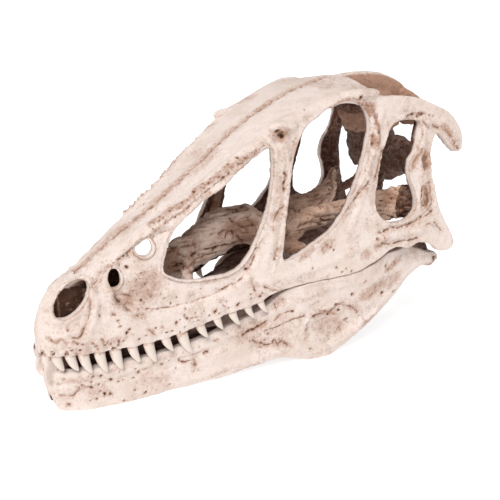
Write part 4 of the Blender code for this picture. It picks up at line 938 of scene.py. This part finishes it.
def spread(pairs, values, rounds):
    """Values averaged over each vertex's neighbours, this many times."""
    count = len(values)
    degree = np.bincount(pairs.ravel(), minlength=count).astype(float)
    degree[degree == 0] = 1.0
    for _ in range(rounds):
        if values.ndim == 1:
            total = np.bincount(pairs[:, 0], values[pairs[:, 1]], count)
            total += np.bincount(pairs[:, 1], values[pairs[:, 0]], count)
            values = 0.5 * values + 0.5 * total / degree
        else:
            values = np.stack([spread(pairs, values[:, k], 1) for k in range(values.shape[1])], -1)
    return values


def hollowness(obj, rounds):
    """How far each point lies below the smoothed surface round it, in skull lengths."""
    points = coordinates(obj)
    smooth = spread(edge_pairs(obj), points, rounds)
    return np.einsum("ij,ij->i", smooth - points, normals(obj))


def keep_values(obj, name, values):
    layer = obj.data.attributes.new(name, "FLOAT", "POINT")
    layer.data.foreach_set("value", np.clip(values, 0, 1).astype(np.float32))


def finish_surface(obj, carving, inner, grain):
    """Moves the surface by its carving and by the bone's own grain, and keeps its staining, with painted shade in
    hollows and inside, as attributes.
    """
    points = coordinates(obj)
    wild = 1.0 + 1.2 * inner
    lumps = 0.0013 * grain.at(points, 0.036) + 0.0007 * grain.at(points, 0.014) * wild
    lumps += 0.0005 * grain.at(points, (0.020, 0.007, 0.007)) * wild
    region = grain.at(points + 7.0, 0.055)
    poor = np.clip(ramp(region, 0.20, 0.70) * 0.5 + 1.1 * carving.rust_and_shade + 0.5 * inner, 0.0, 1.0)
    pits = ramp(grain.at(points, 0.0050), 0.45, 0.80) * poor
    crease = np.exp(-((grain.at(points + 3.0, (0.034, 0.012, 0.011)) / 0.055) ** 2))
    crease *= np.clip(ramp(grain.at(points + 5.0, 0.024), 0.10, 0.55) * (0.35 + 0.65 * poor), 0.0, 1.0)
    carving.lift += lumps - 0.0013 * pits * wild - 0.0011 * crease * wild
    carving.stain_and_shade = np.maximum(carving.stain_and_shade, np.maximum(0.42 * pits, 0.5 * crease))
    set_coordinates(obj, points + normals(obj) * carving.lift[:, None])
    # Painted shade: small crevices and broad hollows of the mesh are made darker and browner, standing in for their
    # shade.
    crevice_shade = ramp(hollowness(obj, 5), 0.00012, 0.0007)
    hollow_shade = ramp(hollowness(obj, 40), 0.0008, 0.0050)
    keep_values(obj, "stain_and_shade", np.maximum(carving.stain_and_shade, np.maximum(0.62 * crevice_shade, 0.45 * hollow_shade)))
    # Broad hollows also turn browner in the rust layer as painted shade, beside random rusty patches.
    wash_and_hollow_shade = np.maximum(0.30 * ramp(region, 0.0, 0.8), 0.75 * hollow_shade) * (1 - 0.8 * inner)
    keep_values(obj, "rust_and_shade", np.maximum(carving.rust_and_shade, wash_and_hollow_shade))
    # The share of the inside colour: staining and painted shade of the skull's inside.
    keep_values(obj, "inner", inner)


def warped(points, grain):
    """The points' x and z, moved a little to and fro so that what is drawn by them looks grown, not ruled."""
    x = points[:, 0] + 0.0016 * grain.at(points, 0.011) + 0.0008 * grain.at(points, 0.005)
    z = points[:, 2] + 0.0016 * grain.at(points + 2.0, 0.011) + 0.0008 * grain.at(points + 2.0, 0.005)
    return x, z


def carve_skull(obj):
    points = coordinates(obj)
    x, y, z = points.T
    facing = normals(obj)
    depth = skull_half_width(x, z) - np.abs(y)
    outward_facing = ramp(facing[:, 1] * np.sign(y), 0.05, 0.45)
    side = ramp(depth, 0.016, 0.006) * outward_facing
    grain = Grain(11)
    beads = 0.9 * grain.at(points, 0.0052)
    carving = Carving(points, grain)
    bent_x, bent_z = warped(points, grain)
    floor = inside(WINDOW_FLOOR, x, z) * ramp(edge_distance(WINDOW_FLOOR, x, z), 0.0, 0.010)
    carving.lift -= side * floor * WINDOW_FLOOR_DEPTH
    pits = PITS + hole_row(HOLE_ROWS, GUM_LINE, 3)
    carve_side(carving, side, bent_x, bent_z, beads, GROOVES, RIDGES, HOLLOWS, PATCHES, pits)
    for outline, width, height in (
        (ANTORBITAL_OPENING, 0.0055, 0.0015),
        (ORBIT, 0.0050, 0.0013),
        (TEMPORAL_OPENING, 0.0045, 0.0010),
        (ellipse(**NOSTRIL), 0.0055, 0.0022),
        (ellipse(**MAXILLARY_OPENING), 0.0035, 0.0004),
        (ellipse(**PROMAXILLARY_OPENING), 0.0045, 0.0018),
    ):
        carving.rim(side, edge_distance(outline, x, z), width, height)
    mouth = (depth > 0.020) * ramp(z, 0.42, 0.38) * ramp(x, 0.25, 0.28) * ramp(x, 0.95, 0.91)
    for line, width, cut, stain_and_shade in MOUTH_GROOVES:
        carving.groove(mouth, distance_to(line, bent_x, bent_z)[0], width, cut, stain_and_shade)
    for knob_x, knob_z, reach, height in MOUTH_KNOBS:
        carving.lift += mouth * height * np.exp(-(((x - knob_x) / reach) ** 2) - ((z - knob_z) / reach) ** 2)
    carving.lift += mouth * (0.0040 * grain.at(points + 4.0, 0.034) + 0.0016 * grain.at(points + 4.0, 0.012))
    fibres = grain.at(points + 8.0, (0.060, 0.0085, 0.0065)) + 0.6 * grain.at(points + 1.0, (0.030, 0.0045, 0.0035))
    carving.lift += mouth * 0.0030 * fibres
    carving.stain_and_shade = np.maximum(carving.stain_and_shade, mouth * 0.70 * ramp(fibres, -0.35, -1.05))
    carving.rust_and_shade = np.maximum(carving.rust_and_shade, mouth * 0.75 * ramp(grain.at(points + 4.0, 0.034), 0.15, -0.55))
    # Painted shade: the nose's inside and the plug between the nostrils take the darkest staining, as the nostrils'
    # shade.
    nostril_shade = ramp(np.abs(y), 0.032, 0.020) * ramp(x, 0.044, 0.056) * (x < 0.16) * (z < 0.258)
    carving.stain_and_shade = np.maximum(carving.stain_and_shade, nostril_shade)
    core = ramp(x, 0.79, 0.82) * ramp(np.abs(y), 0.125, 0.110) * ramp(z, 0.575, 0.555) * (1 - mouth)
    carving.lift += core * (0.0065 * grain.at(points + 6.0, 0.036) + 0.0042 * grain.at(points + 6.0, 0.014))
    for root_x, *_ in PREMAXILLARY_TEETH + MAXILLARY_TEETH:
        above = z - np.interp(x, *zip(*GUM_LINE))
        bulge = np.exp(-(((x - root_x) / 0.009) ** 2)) * ramp(above, 0.040, 0.004)
        carving.lift += side * bulge * 0.0024
    top = ramp(facing[:, 2], 0.35, 0.75) * ramp(depth, 0.004, 0.012) * (z > 0.24 + 0.3 * x)
    seam = top * (x > 0.09) * ramp(x, 0.790, 0.745)
    drift = 0.0022 * grain.at(points, 0.03)
    carving.groove(seam, np.abs(y + drift), 0.0046, 0.0068, 1.0)
    carving.groove(seam, np.abs(np.abs(y + drift) - 0.0080), 0.0022, 0.0014, 0.25)
    pit = ramp(x, 0.775, 0.800) * (z > 0.50) * ramp(np.abs(y), 0.128, 0.112)
    pit *= 1 - 0.75 * ramp(np.abs(y), 0.020, 0.009) * ramp(facing[:, 2], 0.45, 0.8)
    carving.rust_and_shade = np.maximum(carving.rust_and_shade, pit * 0.85)
    carving.stain_and_shade = np.maximum(carving.stain_and_shade, pit * 0.40 * ramp(grain.at(points + 2.0, 0.013), 0.15, 0.75))
    # Inner faces take the inside colour: staining and painted shade of the skull's inside.
    within = ramp(depth, 0.009, 0.017) * (1 - top) * (1 - pit) * (1 - 0.8 * side)
    # Painted light: the front of the mouth roof takes less of its darker inside colour, so it looks lit where it lies
    # in shade.
    within *= 1 - 0.40 * mouth * ramp(x, 0.60, 0.50)
    finish_surface(obj, carving, np.maximum(within, 0), grain)


def mouth_shade_sheet():
    """The left half of a rough dark sheet that closes the mouth behind the teeth and under the cheek: painted shade of
    the open mouth.
    """
    upper = [(0.020, 0.122), (0.120, 0.124), (0.220, 0.128), (0.320, 0.142), (0.400, 0.160), (0.480, 0.178)]
    upper += [(0.560, 0.196), (0.640, 0.204), (0.720, 0.212), (0.780, 0.228), (0.830, 0.252), (0.880, 0.252)]
    outline = upper + [(0.930, 0.248), (0.972, 0.228), (0.985, 0.195), (0.930, 0.180), (0.880, 0.170), (0.700, 0.150), (0.450, 0.090), (0.200, 0.060), (0.020, 0.060)]
    return bent(plate(outline, [], 0.022, 0.032), jaw_half_width)


def carve_jaw(obj):
    points = coordinates(obj)
    x, y, z = points.T
    facing = normals(obj)
    depth = jaw_half_width(x, z) - np.abs(y)
    side = ramp(depth, 0.016, 0.006) * ramp(facing[:, 1] * np.sign(y), 0.05, 0.45)
    grain = Grain(29)
    beads = 0.9 * grain.at(points, 0.0055)
    carving = Carving(points, grain)
    bent_x, bent_z = warped(points, grain)
    pits = JAW_PITS + hole_row([(a, b, n, -h, r) for a, b, n, h, r in JAW_HOLES], JAW_EDGE, 5)
    carve_side(carving, side, bent_x, bent_z, beads, JAW_GROOVES, JAW_RIDGES, JAW_HOLLOWS, JAW_PATCHES, pits)
    # The jaw's inner faces and the mouth sheet take the inside colour: staining and painted shade.
    within = ramp(depth, 0.010, 0.020)
    finish_surface(obj, carving, within * 0.9, grain)


# ---------------------------------------------------------------- parting into bones
def nearest_nodes(obj, names):
    """For each face, the index of the CAD node that lies nearest."""
    points, faces, owner = [], [], []
    for index, name in enumerate(names):
        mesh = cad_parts[name].data
        first = len(points)
        points += [vert.co.copy() for vert in mesh.vertices]
        for face in mesh.polygons:
            faces.append([first + corner for corner in face.vertices])
            owner.append(index)
    tree = BVHTree.FromPolygons(points, faces)
    return np.array([owner[tree.find_nearest(face.center)[2]] for face in obj.data.polygons])


def quads_of(mesh):
    """The corners of each face of a mesh that has only quads."""
    corners = np.empty(len(mesh.loops), np.int32)
    mesh.loops.foreach_get("vertex_index", corners)
    return corners.reshape(-1, 4)


def settled(obj, labels, rounds):
    """Labels after each face has taken what most of the faces round it have, so that seams run smooth."""
    quads = quads_of(obj.data)
    kinds = labels.max() + 1
    count = len(obj.data.vertices)
    for _ in range(rounds):
        votes = np.bincount((quads * kinds + labels[:, None]).ravel(), minlength=count * kinds)
        tally = votes.reshape(count, kinds)[quads].sum(axis=1) * 2
        tally[np.arange(len(quads)), labels] += 1
        labels = tally.argmax(axis=1)
    return labels


def parted(obj, names):
    """One closed object for each CAD node: the faces that lie nearest to it, with the seams filled."""
    labels = settled(obj, nearest_nodes(obj, names), 4)
    quads = quads_of(obj.data)
    points = coordinates(obj) * SKULL_LENGTH
    values = {}
    for key in ("stain_and_shade", "rust_and_shade", "inner"):
        values[key] = np.empty(len(points), np.float32)
        obj.data.attributes[key].data.foreach_get("value", values[key])
    bpy.data.objects.remove(obj)
    pieces = []
    for index, name in enumerate(names):
        used, corners = np.unique(quads[labels == index], return_inverse=True)
        if not len(used):
            raise RuntimeError("nothing of the bone is near " + name)
        mesh = bpy.data.meshes.new(name)
        mesh.from_pydata(points[used], [], corners.reshape(-1, 4))
        for key, value in values.items():
            mesh.attributes.new(key, "FLOAT", "POINT").data.foreach_set("value", value[used])
        shape = bmesh.new()
        shape.from_mesh(mesh)
        for face in shape.faces:
            face.smooth = True
        rim = [edge for edge in shape.edges if edge.is_boundary]
        filled = bmesh.ops.holes_fill(shape, edges=rim, sides=0)["faces"]
        for edge in rim:
            edge.smooth = False
        bmesh.ops.triangulate(shape, faces=filled)
        shape.to_mesh(mesh)
        shape.free()
        pieces.append(placed(name, mesh))
    return pieces


def into_frame(obj):
    """From skull lengths to the frame's own place, kept within the solids' box."""
    moved = (coordinates(obj) - ORIGIN) * SKULL_LENGTH
    set_coordinates(obj, np.clip(moved, CAD_LOW, CAD_HIGH) / SKULL_LENGTH)


def kept(piece, name, slot, material, *nodes):
    piece.name = name
    piece.data.materials.clear()
    piece.data.materials.append(material)
    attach(piece, "root")
    if nodes:
        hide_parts(*nodes)
    return piece


# ---------------------------------------------------------------- materials
class Value:
    """A number that a shader works out; arithmetic on it adds Math nodes."""

    def __init__(self, shader, socket):
        self.shader = shader
        self.socket = socket

    def __add__(self, other):
        return self.shader.maths("ADD", self, other)

    __radd__ = __add__

    def __sub__(self, other):
        return self.shader.maths("SUBTRACT", self, other)

    def __rsub__(self, other):
        return self.shader.maths("SUBTRACT", other, self)

    def __mul__(self, other):
        return self.shader.maths("MULTIPLY", self, other)

    __rmul__ = __mul__

    def most(self, other):
        return self.shader.maths("MAXIMUM", self, other)

    def between(self, low, high):
        """0 at low and 1 at high, smooth between."""
        return self.shader.node(
            "ShaderNodeMapRange",
            {"interpolation_type": "SMOOTHSTEP"},
            {"Value": self, "From Min": low, "From Max": high},
        )


class Shader:
    """A material whose nodes are made by name."""

    def __init__(self, name, colour):
        self.material = bpy.data.materials.new(name)
        self.material.use_nodes = True
        self.material.diffuse_color = (*colour, 1.0)
        self.tree = self.material.node_tree
        self.surface = self.tree.nodes["Principled BSDF"]
        self.place = self.node("ShaderNodeTexCoord", {}, {}, "Object")

    def node(self, kind, settings, inputs, output=0):
        made = self.tree.nodes.new(kind)
        for key, value in settings.items():
            setattr(made, key, value)
        for key, value in inputs.items():
            self.connect(made.inputs[key], value)
        return Value(self, made.outputs[output])

    def connect(self, socket, value):
        if isinstance(value, Value):
            self.tree.links.new(value.socket, socket)
        else:
            socket.default_value = value

    def maths(self, operation, first, second):
        return self.node("ShaderNodeMath", {"operation": operation}, {0: first, 1: second})

    def attribute(self, name):
        return self.node("ShaderNodeAttribute", {"attribute_name": name}, {}, "Fac")

    def noise(self, size, detail=3.0, rough=0.55, stretch=(1.0, 1.0, 1.0)):
        """Soft noise whose blobs are about this many metres across."""
        place = self.place
        if stretch != (1.0, 1.0, 1.0):
            place = self.node("ShaderNodeMapping", {}, {"Vector": self.place, "Scale": stretch}, 0)
        return self.node(
            "ShaderNodeTexNoise",
            {},
            {"Vector": place, "Scale": 1.0 / size, "Detail": detail, "Roughness": rough},
            0,
        )

    def mixed(self, share, low, high):
        """A colour between two colours."""
        return self.node(
            "ShaderNodeMix",
            {"data_type": "RGBA"},
            {0: share, 6: low if isinstance(low, Value) else (*low, 1.0), 7: (*high, 1.0)},
            2,
        )


def bone_material(name, looks, inside, darker):
    """Dry ivory bone, mottled and speckled, stained brown and painted with shade in its hollows, and darker inside
    from staining and painted shade.
    """
    shader = Shader(name, looks.bone)
    stain_and_shade, rust_and_shade, inner = (shader.attribute(key) for key in ("stain_and_shade", "rust_and_shade", "inner"))
    blotch = shader.noise(0.030, 5.0, 0.6)
    mottle = shader.noise(0.0060, 5.0, 0.65)
    speck = shader.noise(0.0018, 4.0, 0.65)
    grit = shader.noise(0.0008, 2.0, 0.6)
    streak = shader.noise(0.0030, 4.0, 0.6, (0.28, 1.0, 0.55))
    colour = shader.mixed(blotch.between(0.40, 0.70) * 0.48, looks.bone, looks.warm)
    colour = shader.mixed(speck.between(0.50, 0.72) * 0.34, colour, looks.warm)
    # Inside faces take the inside colour: staining darkened further as painted shade.
    colour = shader.mixed((inner + darker) * (0.86 + 0.22 * streak.between(0.30, 0.68)), colour, inside)
    # Rusty tone, with painted shade of broad hollows, broken up by mottle and specks.
    dust_and_hollow_shade = (1.5 * rust_and_shade + 1.5 * mottle + 0.9 * speck).between(1.22, 2.45)
    colour = shader.mixed(dust_and_hollow_shade * 0.95, colour, looks.rust_and_shade)
    # Darker brown where stained, and as painted shade in crevices, hollows and the nostrils.
    dirt_and_shade = stain_and_shade * (0.55 + 0.75 * mottle.between(0.34, 0.60))
    colour = shader.mixed(dirt_and_shade.between(0.04, 0.55) * 0.70, colour, looks.rust_and_shade)
    flecks = speck.between(0.59, 0.67) * (0.09 + 0.45 * stain_and_shade + 0.60 * rust_and_shade)
    colour = shader.mixed((dirt_and_shade.between(0.36, 0.95) * 0.95).most(flecks), colour, looks.stain_and_shade)
    shader.connect(shader.surface.inputs["Base Color"], colour)
    shader.connect(shader.surface.inputs["Roughness"], 0.50 + 0.3 * mottle)
    height = 0.5 * mottle + 0.45 * streak + 0.40 * speck + 0.25 * grit - 0.6 * flecks
    relief = shader.node("ShaderNodeBump", {}, {"Strength": 0.8, "Distance": 0.0010, "Height": height}, 0)
    shader.connect(shader.surface.inputs["Normal"], relief)
    shader.surface.inputs["Specular IOR Level"].default_value = 0.15
    return shader.material


def tooth_material(name, looks):
    """Smooth cream enamel with faint lengthwise streaks, stained about the root, with painted shade on its front and
    back edges.
    """
    shader = Shader(name, looks.tooth)
    root = shader.attribute("stain_and_shade")
    mottle = shader.noise(0.004, 4.0, 0.6)
    streak = shader.noise(0.0011, 2.0, 0.5, (1.0, 1.0, 0.15))
    colour = shader.mixed(streak.between(0.45, 0.75) * 0.30, looks.tooth, looks.warm)
    # Darker about the root, where stained, and on the front and back edges as painted shade.
    dirt_and_shade = root * (0.3 + 0.8 * mottle.between(0.35, 0.65))
    colour = shader.mixed(dirt_and_shade.between(0.05, 0.5) * 0.7, colour, looks.rust_and_shade)
    colour = shader.mixed(dirt_and_shade.between(0.5, 1.0), colour, looks.stain_and_shade)
    shader.connect(shader.surface.inputs["Base Color"], colour)
    shader.connect(shader.surface.inputs["Roughness"], 0.45 + 0.2 * mottle)
    height = 0.6 * streak + 0.3 * mottle
    relief = shader.node("ShaderNodeBump", {}, {"Strength": 0.3, "Distance": 0.0004, "Height": height}, 0)
    shader.connect(shader.surface.inputs["Normal"], relief)
    return shader.material


def floor_material(name, looks):
    """A pale floor that glows faintly, so that it stays pale in the skull's shade."""
    shader = Shader(name, looks.floor)
    shader.surface.inputs["Base Color"].default_value = (*looks.floor, 1.0)
    shader.surface.inputs["Roughness"].default_value = 0.9
    shader.surface.inputs["Specular IOR Level"].default_value = 0.1
    shader.surface.inputs["Emission Color"].default_value = (1.0, 1.0, 1.0, 1.0)
    shader.surface.inputs["Emission Strength"].default_value = looks.glow
    return shader.material


# ---------------------------------------------------------------- teeth
def tooth(root_x, tip_x, tip_z, radius, sides=28, rings=22):
    """One recurved, blade-like tooth of the left row: its points, faces and how dark each point is, stained about the
    root and painted with shade on the front and back edges.
    """
    root_z = float(np.interp(root_x, *zip(*GUM_LINE))) + SOCKET_DEPTH
    root = np.array((root_x, TOOTH_DEPTH - float(skull_half_width(root_x, root_z)), root_z))
    tip = np.array((tip_x, TOOTH_DEPTH - float(skull_half_width(tip_x, tip_z)), tip_z))
    bow = np.array((root_x - 0.003, root[1] - 0.003, (root_z + tip_z) / 2))
    points, share, edges = [], [], []
    for ring in range(rings):
        t = ring / rings
        middle = root * (1 - t) ** 2 + bow * 2 * t * (1 - t) + tip * t * t
        size = TOOTH_GIRTH * radius * (1 - t**2.6) ** 0.62
        for step in range(sides):
            around = 2 * math.pi * step / sides
            keel = 1.0 + 0.06 * abs(math.cos(around)) ** 8
            points.append(middle + size * np.array((math.cos(around) * keel, 0.66 * math.sin(around), 0.0)))
            share.append(t)
            # Painted shade on the tooth's front and back edges.
            edges.append(abs(math.cos(around)) ** 3 * (1 - t))
    points.append(tip)
    share.append(1.0)
    edges.append(0.0)
    faces = [tuple(range(sides))]
    for ring in range(rings - 1):
        for step in range(sides):
            low, following = ring * sides, (step + 1) % sides
            faces.append((low + step, low + sides + step, low + sides + following, low + following))
    last = (rings - 1) * sides
    faces += [(last + step, last + sides, last + (step + 1) % sides) for step in range(sides)]
    points = np.array(points)
    return points, faces, np.maximum(ramp(np.array(share), 0.42, 0.12), 0.75 * np.array(edges))


def tooth_row(rows, side):
    """The teeth of one side as one object, stained about their roots and painted with shade on their edges."""
    points, faces, stains_and_shade = [], [], []
    for row in rows:
        shape, sheets, stain_and_shade = tooth(*row)
        faces += [tuple(len(np.concatenate(points)) + i if points else i for i in sheet) for sheet in sheets]
        points.append(shape * np.array((1, -side, 1)))
        stains_and_shade.append(stain_and_shade)
    obj = mesh_of(np.concatenate(points), faces)
    outward(obj)
    keep_values(obj, "stain_and_shade", np.concatenate(stains_and_shade))
    return obj


# ---------------------------------------------------------------- what a user can change
class SkullLooks(bpy.types.PropertyGroup):
    """Colours of the bone and of the stage."""

    bone: FloatVectorProperty(
        name="Bone", description="Clean outer bone", default=(0.765, 0.652, 0.596), subtype="COLOR", min=0, max=1
    )
    warm: FloatVectorProperty(
        name="Mottling", description="Warmer patches in the bone", default=(0.60, 0.465, 0.388), subtype="COLOR", min=0, max=1
    )
    # Also the browner tone of the painted shade in hollows.
    rust_and_shade: FloatVectorProperty(
        name="Rust", description="Rough ridges and the temporal pits", default=(0.40, 0.225, 0.150), subtype="COLOR", min=0, max=1
    )
    # Also the darkest painted shade: in crevices, hollows, the nostrils and on the teeth's edges.
    stain_and_shade: FloatVectorProperty(
        name="Stain", description="Dirt in hollows, cracks and holes", default=(0.060, 0.027, 0.017), subtype="COLOR", min=0, max=1
    )
    # The inside's colour: staining darkened further as painted shade of the skull's inside.
    inner: FloatVectorProperty(
        name="Inside", description="The skull's stained inside", default=(0.084, 0.030, 0.016), subtype="COLOR", min=0, max=1
    )
    mouth: FloatVectorProperty(
        name="Mouth roof", description="The palate's bone", default=(0.65, 0.440, 0.330), subtype="COLOR", min=0, max=1
    )
    tooth: FloatVectorProperty(
        name="Teeth", description="Enamel", default=(0.75, 0.645, 0.575), subtype="COLOR", min=0, max=1
    )
    floor: FloatVectorProperty(
        name="Floor", description="The stage's floor", default=(0.45, 0.45, 0.45), subtype="COLOR", min=0, max=1
    )
    glow: FloatProperty(name="Floor glow", description="How much light the floor gives by itself", default=0.80, min=0)


class SkullStage(bpy.types.PropertyGroup):
    """Camera and light."""

    azimuth: FloatProperty(name="Azimuth", description="Camera's turn round the skull", default=math.radians(35.3), subtype="ANGLE")
    elevation: FloatProperty(name="Elevation", description="Camera's angle above the floor", default=math.radians(18.3), subtype="ANGLE")
    distance: FloatProperty(name="Distance", description="Camera to what it looks at", default=0.779, unit="LENGTH", min=0.1)
    lens: FloatProperty(name="Lens", description="Focal length on a 36 mm sensor, in millimetres", default=58.03, min=10)
    key: FloatProperty(name="Key light", description="Strength of the large soft light", default=2.5, min=0)
    softness: FloatProperty(name="Softness", description="Width of the key light", default=math.radians(28), subtype="ANGLE")
    sky: FloatProperty(name="Surround", description="Brightness of the pale surround", default=0.44, min=0)


# ---------------------------------------------------------------- operators
SKULL_NODES = [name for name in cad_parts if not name.startswith(("dentary", "surangular", "articular"))]
JAW_NODES = [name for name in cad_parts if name.startswith(("dentary", "surangular", "articular"))]
VOXEL = 0.0009  # grain of the carved bone, in metres
KEY_FROM = (-0.52, -0.40, 0.78)  # the way to the key light


class SKULL_OT_bones(bpy.types.Operator):
    """Build the carved bones of the skull"""

    bl_idname = "skull.bones"
    bl_label = "Skull Bones"

    def execute(self, context):
        looks = context.scene.skull_looks
        outer = bone_material("Bone", looks, looks.inner, 0.0)
        inside = {
            "palate": bone_material("Palate bone", looks, looks.mouth, -0.05),
            # The braincase takes the dark inside colour: staining darkened as painted shade.
            "braincase": bone_material("Braincase bone", looks, looks.inner, -0.07),
        }
        openings = [ANTORBITAL_OPENING, ORBIT, TEMPORAL_OPENING]
        openings += [ellipse(**hole) for hole in (NOSTRIL, MAXILLARY_OPENING, PROMAXILLARY_OPENING)]
        side = wall(SKULL_SIDE, openings, SKULL_BARS, SKULL_BOSSES, skull_half_width)
        # A plug between the nostrils, painted dark as the nostrils' shade.
        nostril_shade_plug = ball((0.088, 0.0, 0.222), (0.058, 0.014, 0.056))
        inner = [roof(), *snout_floor(), nostril_shade_plug, *rear_roof(), *braincase(), *palate()]
        skull = fused([side, mirrored(side), *inner], VOXEL, 6)
        carve_skull(skull)
        into_frame(skull)
        for piece, name in zip(parted(skull, SKULL_NODES), SKULL_NODES):
            slot = "inner_bone" if name in inside else "bone"
            kept(piece, name + "_bone", slot, inside.get(name, outer), name)
        return {"FINISHED"}


class SKULL_OT_jaw(bpy.types.Operator):
    """Build the carved bones of the lower jaw"""

    bl_idname = "skull.jaw"
    bl_label = "Lower Jaw"

    def execute(self, context):
        looks = context.scene.skull_looks
        material = bone_material("Jaw bone", looks, looks.inner, 0.0)
        side = wall(JAW_SIDE, [], JAW_BARS, [], jaw_half_width)
        # A dark sheet behind the teeth and under the cheek, painted shade of the open mouth.
        shade_sheet = mouth_shade_sheet()
        jaw = fused([side, mirrored(side), shade_sheet, mirrored(shade_sheet)], VOXEL, 5)
        carve_jaw(jaw)
        into_frame(jaw)
        for piece, name in zip(parted(jaw, JAW_NODES), JAW_NODES):
            kept(piece, name + "_bone", "bone", material, name)
        return {"FINISHED"}


class SKULL_OT_teeth(bpy.types.Operator):
    """Build the upper teeth"""

    bl_idname = "skull.teeth"
    bl_label = "Teeth"

    def execute(self, context):
        material = tooth_material("Tooth", context.scene.skull_looks)
        for side, word in ((1, "left"), (-1, "right")):
            for rows, bone in ((PREMAXILLARY_TEETH, "front"), (MAXILLARY_TEETH, "side")):
                piece = tooth_row(rows, side)
                into_frame(piece)
                choose(piece)
                bpy.ops.object.shade_smooth()
                kept(piece, "teeth_" + bone + "_" + word, "bone", material)
        return {"FINISHED"}


class SKULL_OT_stage(bpy.types.Operator):
    """Build the floor, lights and camera"""

    bl_idname = "skull.stage"
    bl_label = "Stage"

    def execute(self, context):
        scene, stage = context.scene, context.scene.skull_stage
        bpy.ops.object.select_all(action="DESELECT")
        bpy.ops.mesh.primitive_plane_add(size=120.0, location=(0, 0, 0))
        floor = context.view_layer.objects.active
        floor.name = "floor"
        floor.data.materials.append(floor_material("Floor", scene.skull_looks))
        floor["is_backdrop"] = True
        world = bpy.data.worlds.new("Surround")
        world.use_nodes = True
        world.node_tree.nodes["Background"].inputs["Color"].default_value = (1.0, 1.0, 1.0, 1.0)
        world.node_tree.nodes["Background"].inputs["Strength"].default_value = stage.sky
        scene.world = world
        bpy.ops.object.light_add(type="SUN", location=(-0.6, -0.4, 0.8))
        light = context.view_layer.objects.active
        light.name = "key"
        light.data.energy = stage.key
        light.data.angle = stage.softness
        light.rotation_mode = "QUATERNION"
        light.rotation_quaternion = Vector(KEY_FROM).to_track_quat("Z", "Y")
        turn, rise = stage.azimuth, stage.elevation
        back = Vector((-math.sin(turn) * math.cos(rise), -math.cos(turn) * math.cos(rise), math.sin(rise)))
        target = Vector((0.00455, 0.0, 0.10127))
        bpy.ops.object.camera_add(location=target + back * stage.distance)
        camera = context.view_layer.objects.active
        camera.rotation_mode = "QUATERNION"
        camera.rotation_quaternion = (-back).to_track_quat("-Z", "Y")
        camera.data.lens = stage.lens
        camera.data.sensor_width = 36.0
        camera.data.clip_start = 0.01
        camera.data.clip_end = 200.0
        scene.camera = camera
        scene.view_settings.view_transform = "Standard"
        return {"FINISHED"}


class SKULL_PT_panel(bpy.types.Panel):
    """Sizes, colours and the steps that build the skull"""

    bl_label = "Dinosaur Skull"
    bl_idname = "SKULL_PT_panel"
    bl_space_type = "VIEW_3D"
    bl_region_type = "UI"
    bl_category = "Skull"

    def draw(self, context):
        layout = self.layout
        for group in (context.scene.skull_looks, context.scene.skull_stage):
            for key in group.__annotations__:
                layout.prop(group, key)
        for operator in OPERATORS:
            layout.operator(operator.bl_idname)


OPERATORS = (SKULL_OT_bones, SKULL_OT_jaw, SKULL_OT_teeth, SKULL_OT_stage)
CLASSES = (SkullLooks, SkullStage, *OPERATORS, SKULL_PT_panel)


def register():
    for item in CLASSES:
        bpy.utils.register_class(item)
    bpy.types.Scene.skull_looks = PointerProperty(type=SkullLooks)
    bpy.types.Scene.skull_stage = PointerProperty(type=SkullStage)


def unregister():
    del bpy.types.Scene.skull_stage
    del bpy.types.Scene.skull_looks
    for item in reversed(CLASSES):
        bpy.utils.unregister_class(item)


def main():
    register()
    bpy.ops.skull.bones()
    bpy.ops.skull.jaw()
    bpy.ops.skull.teeth()
    bpy.ops.skull.stage()


if __name__ == "__main__":
    main()
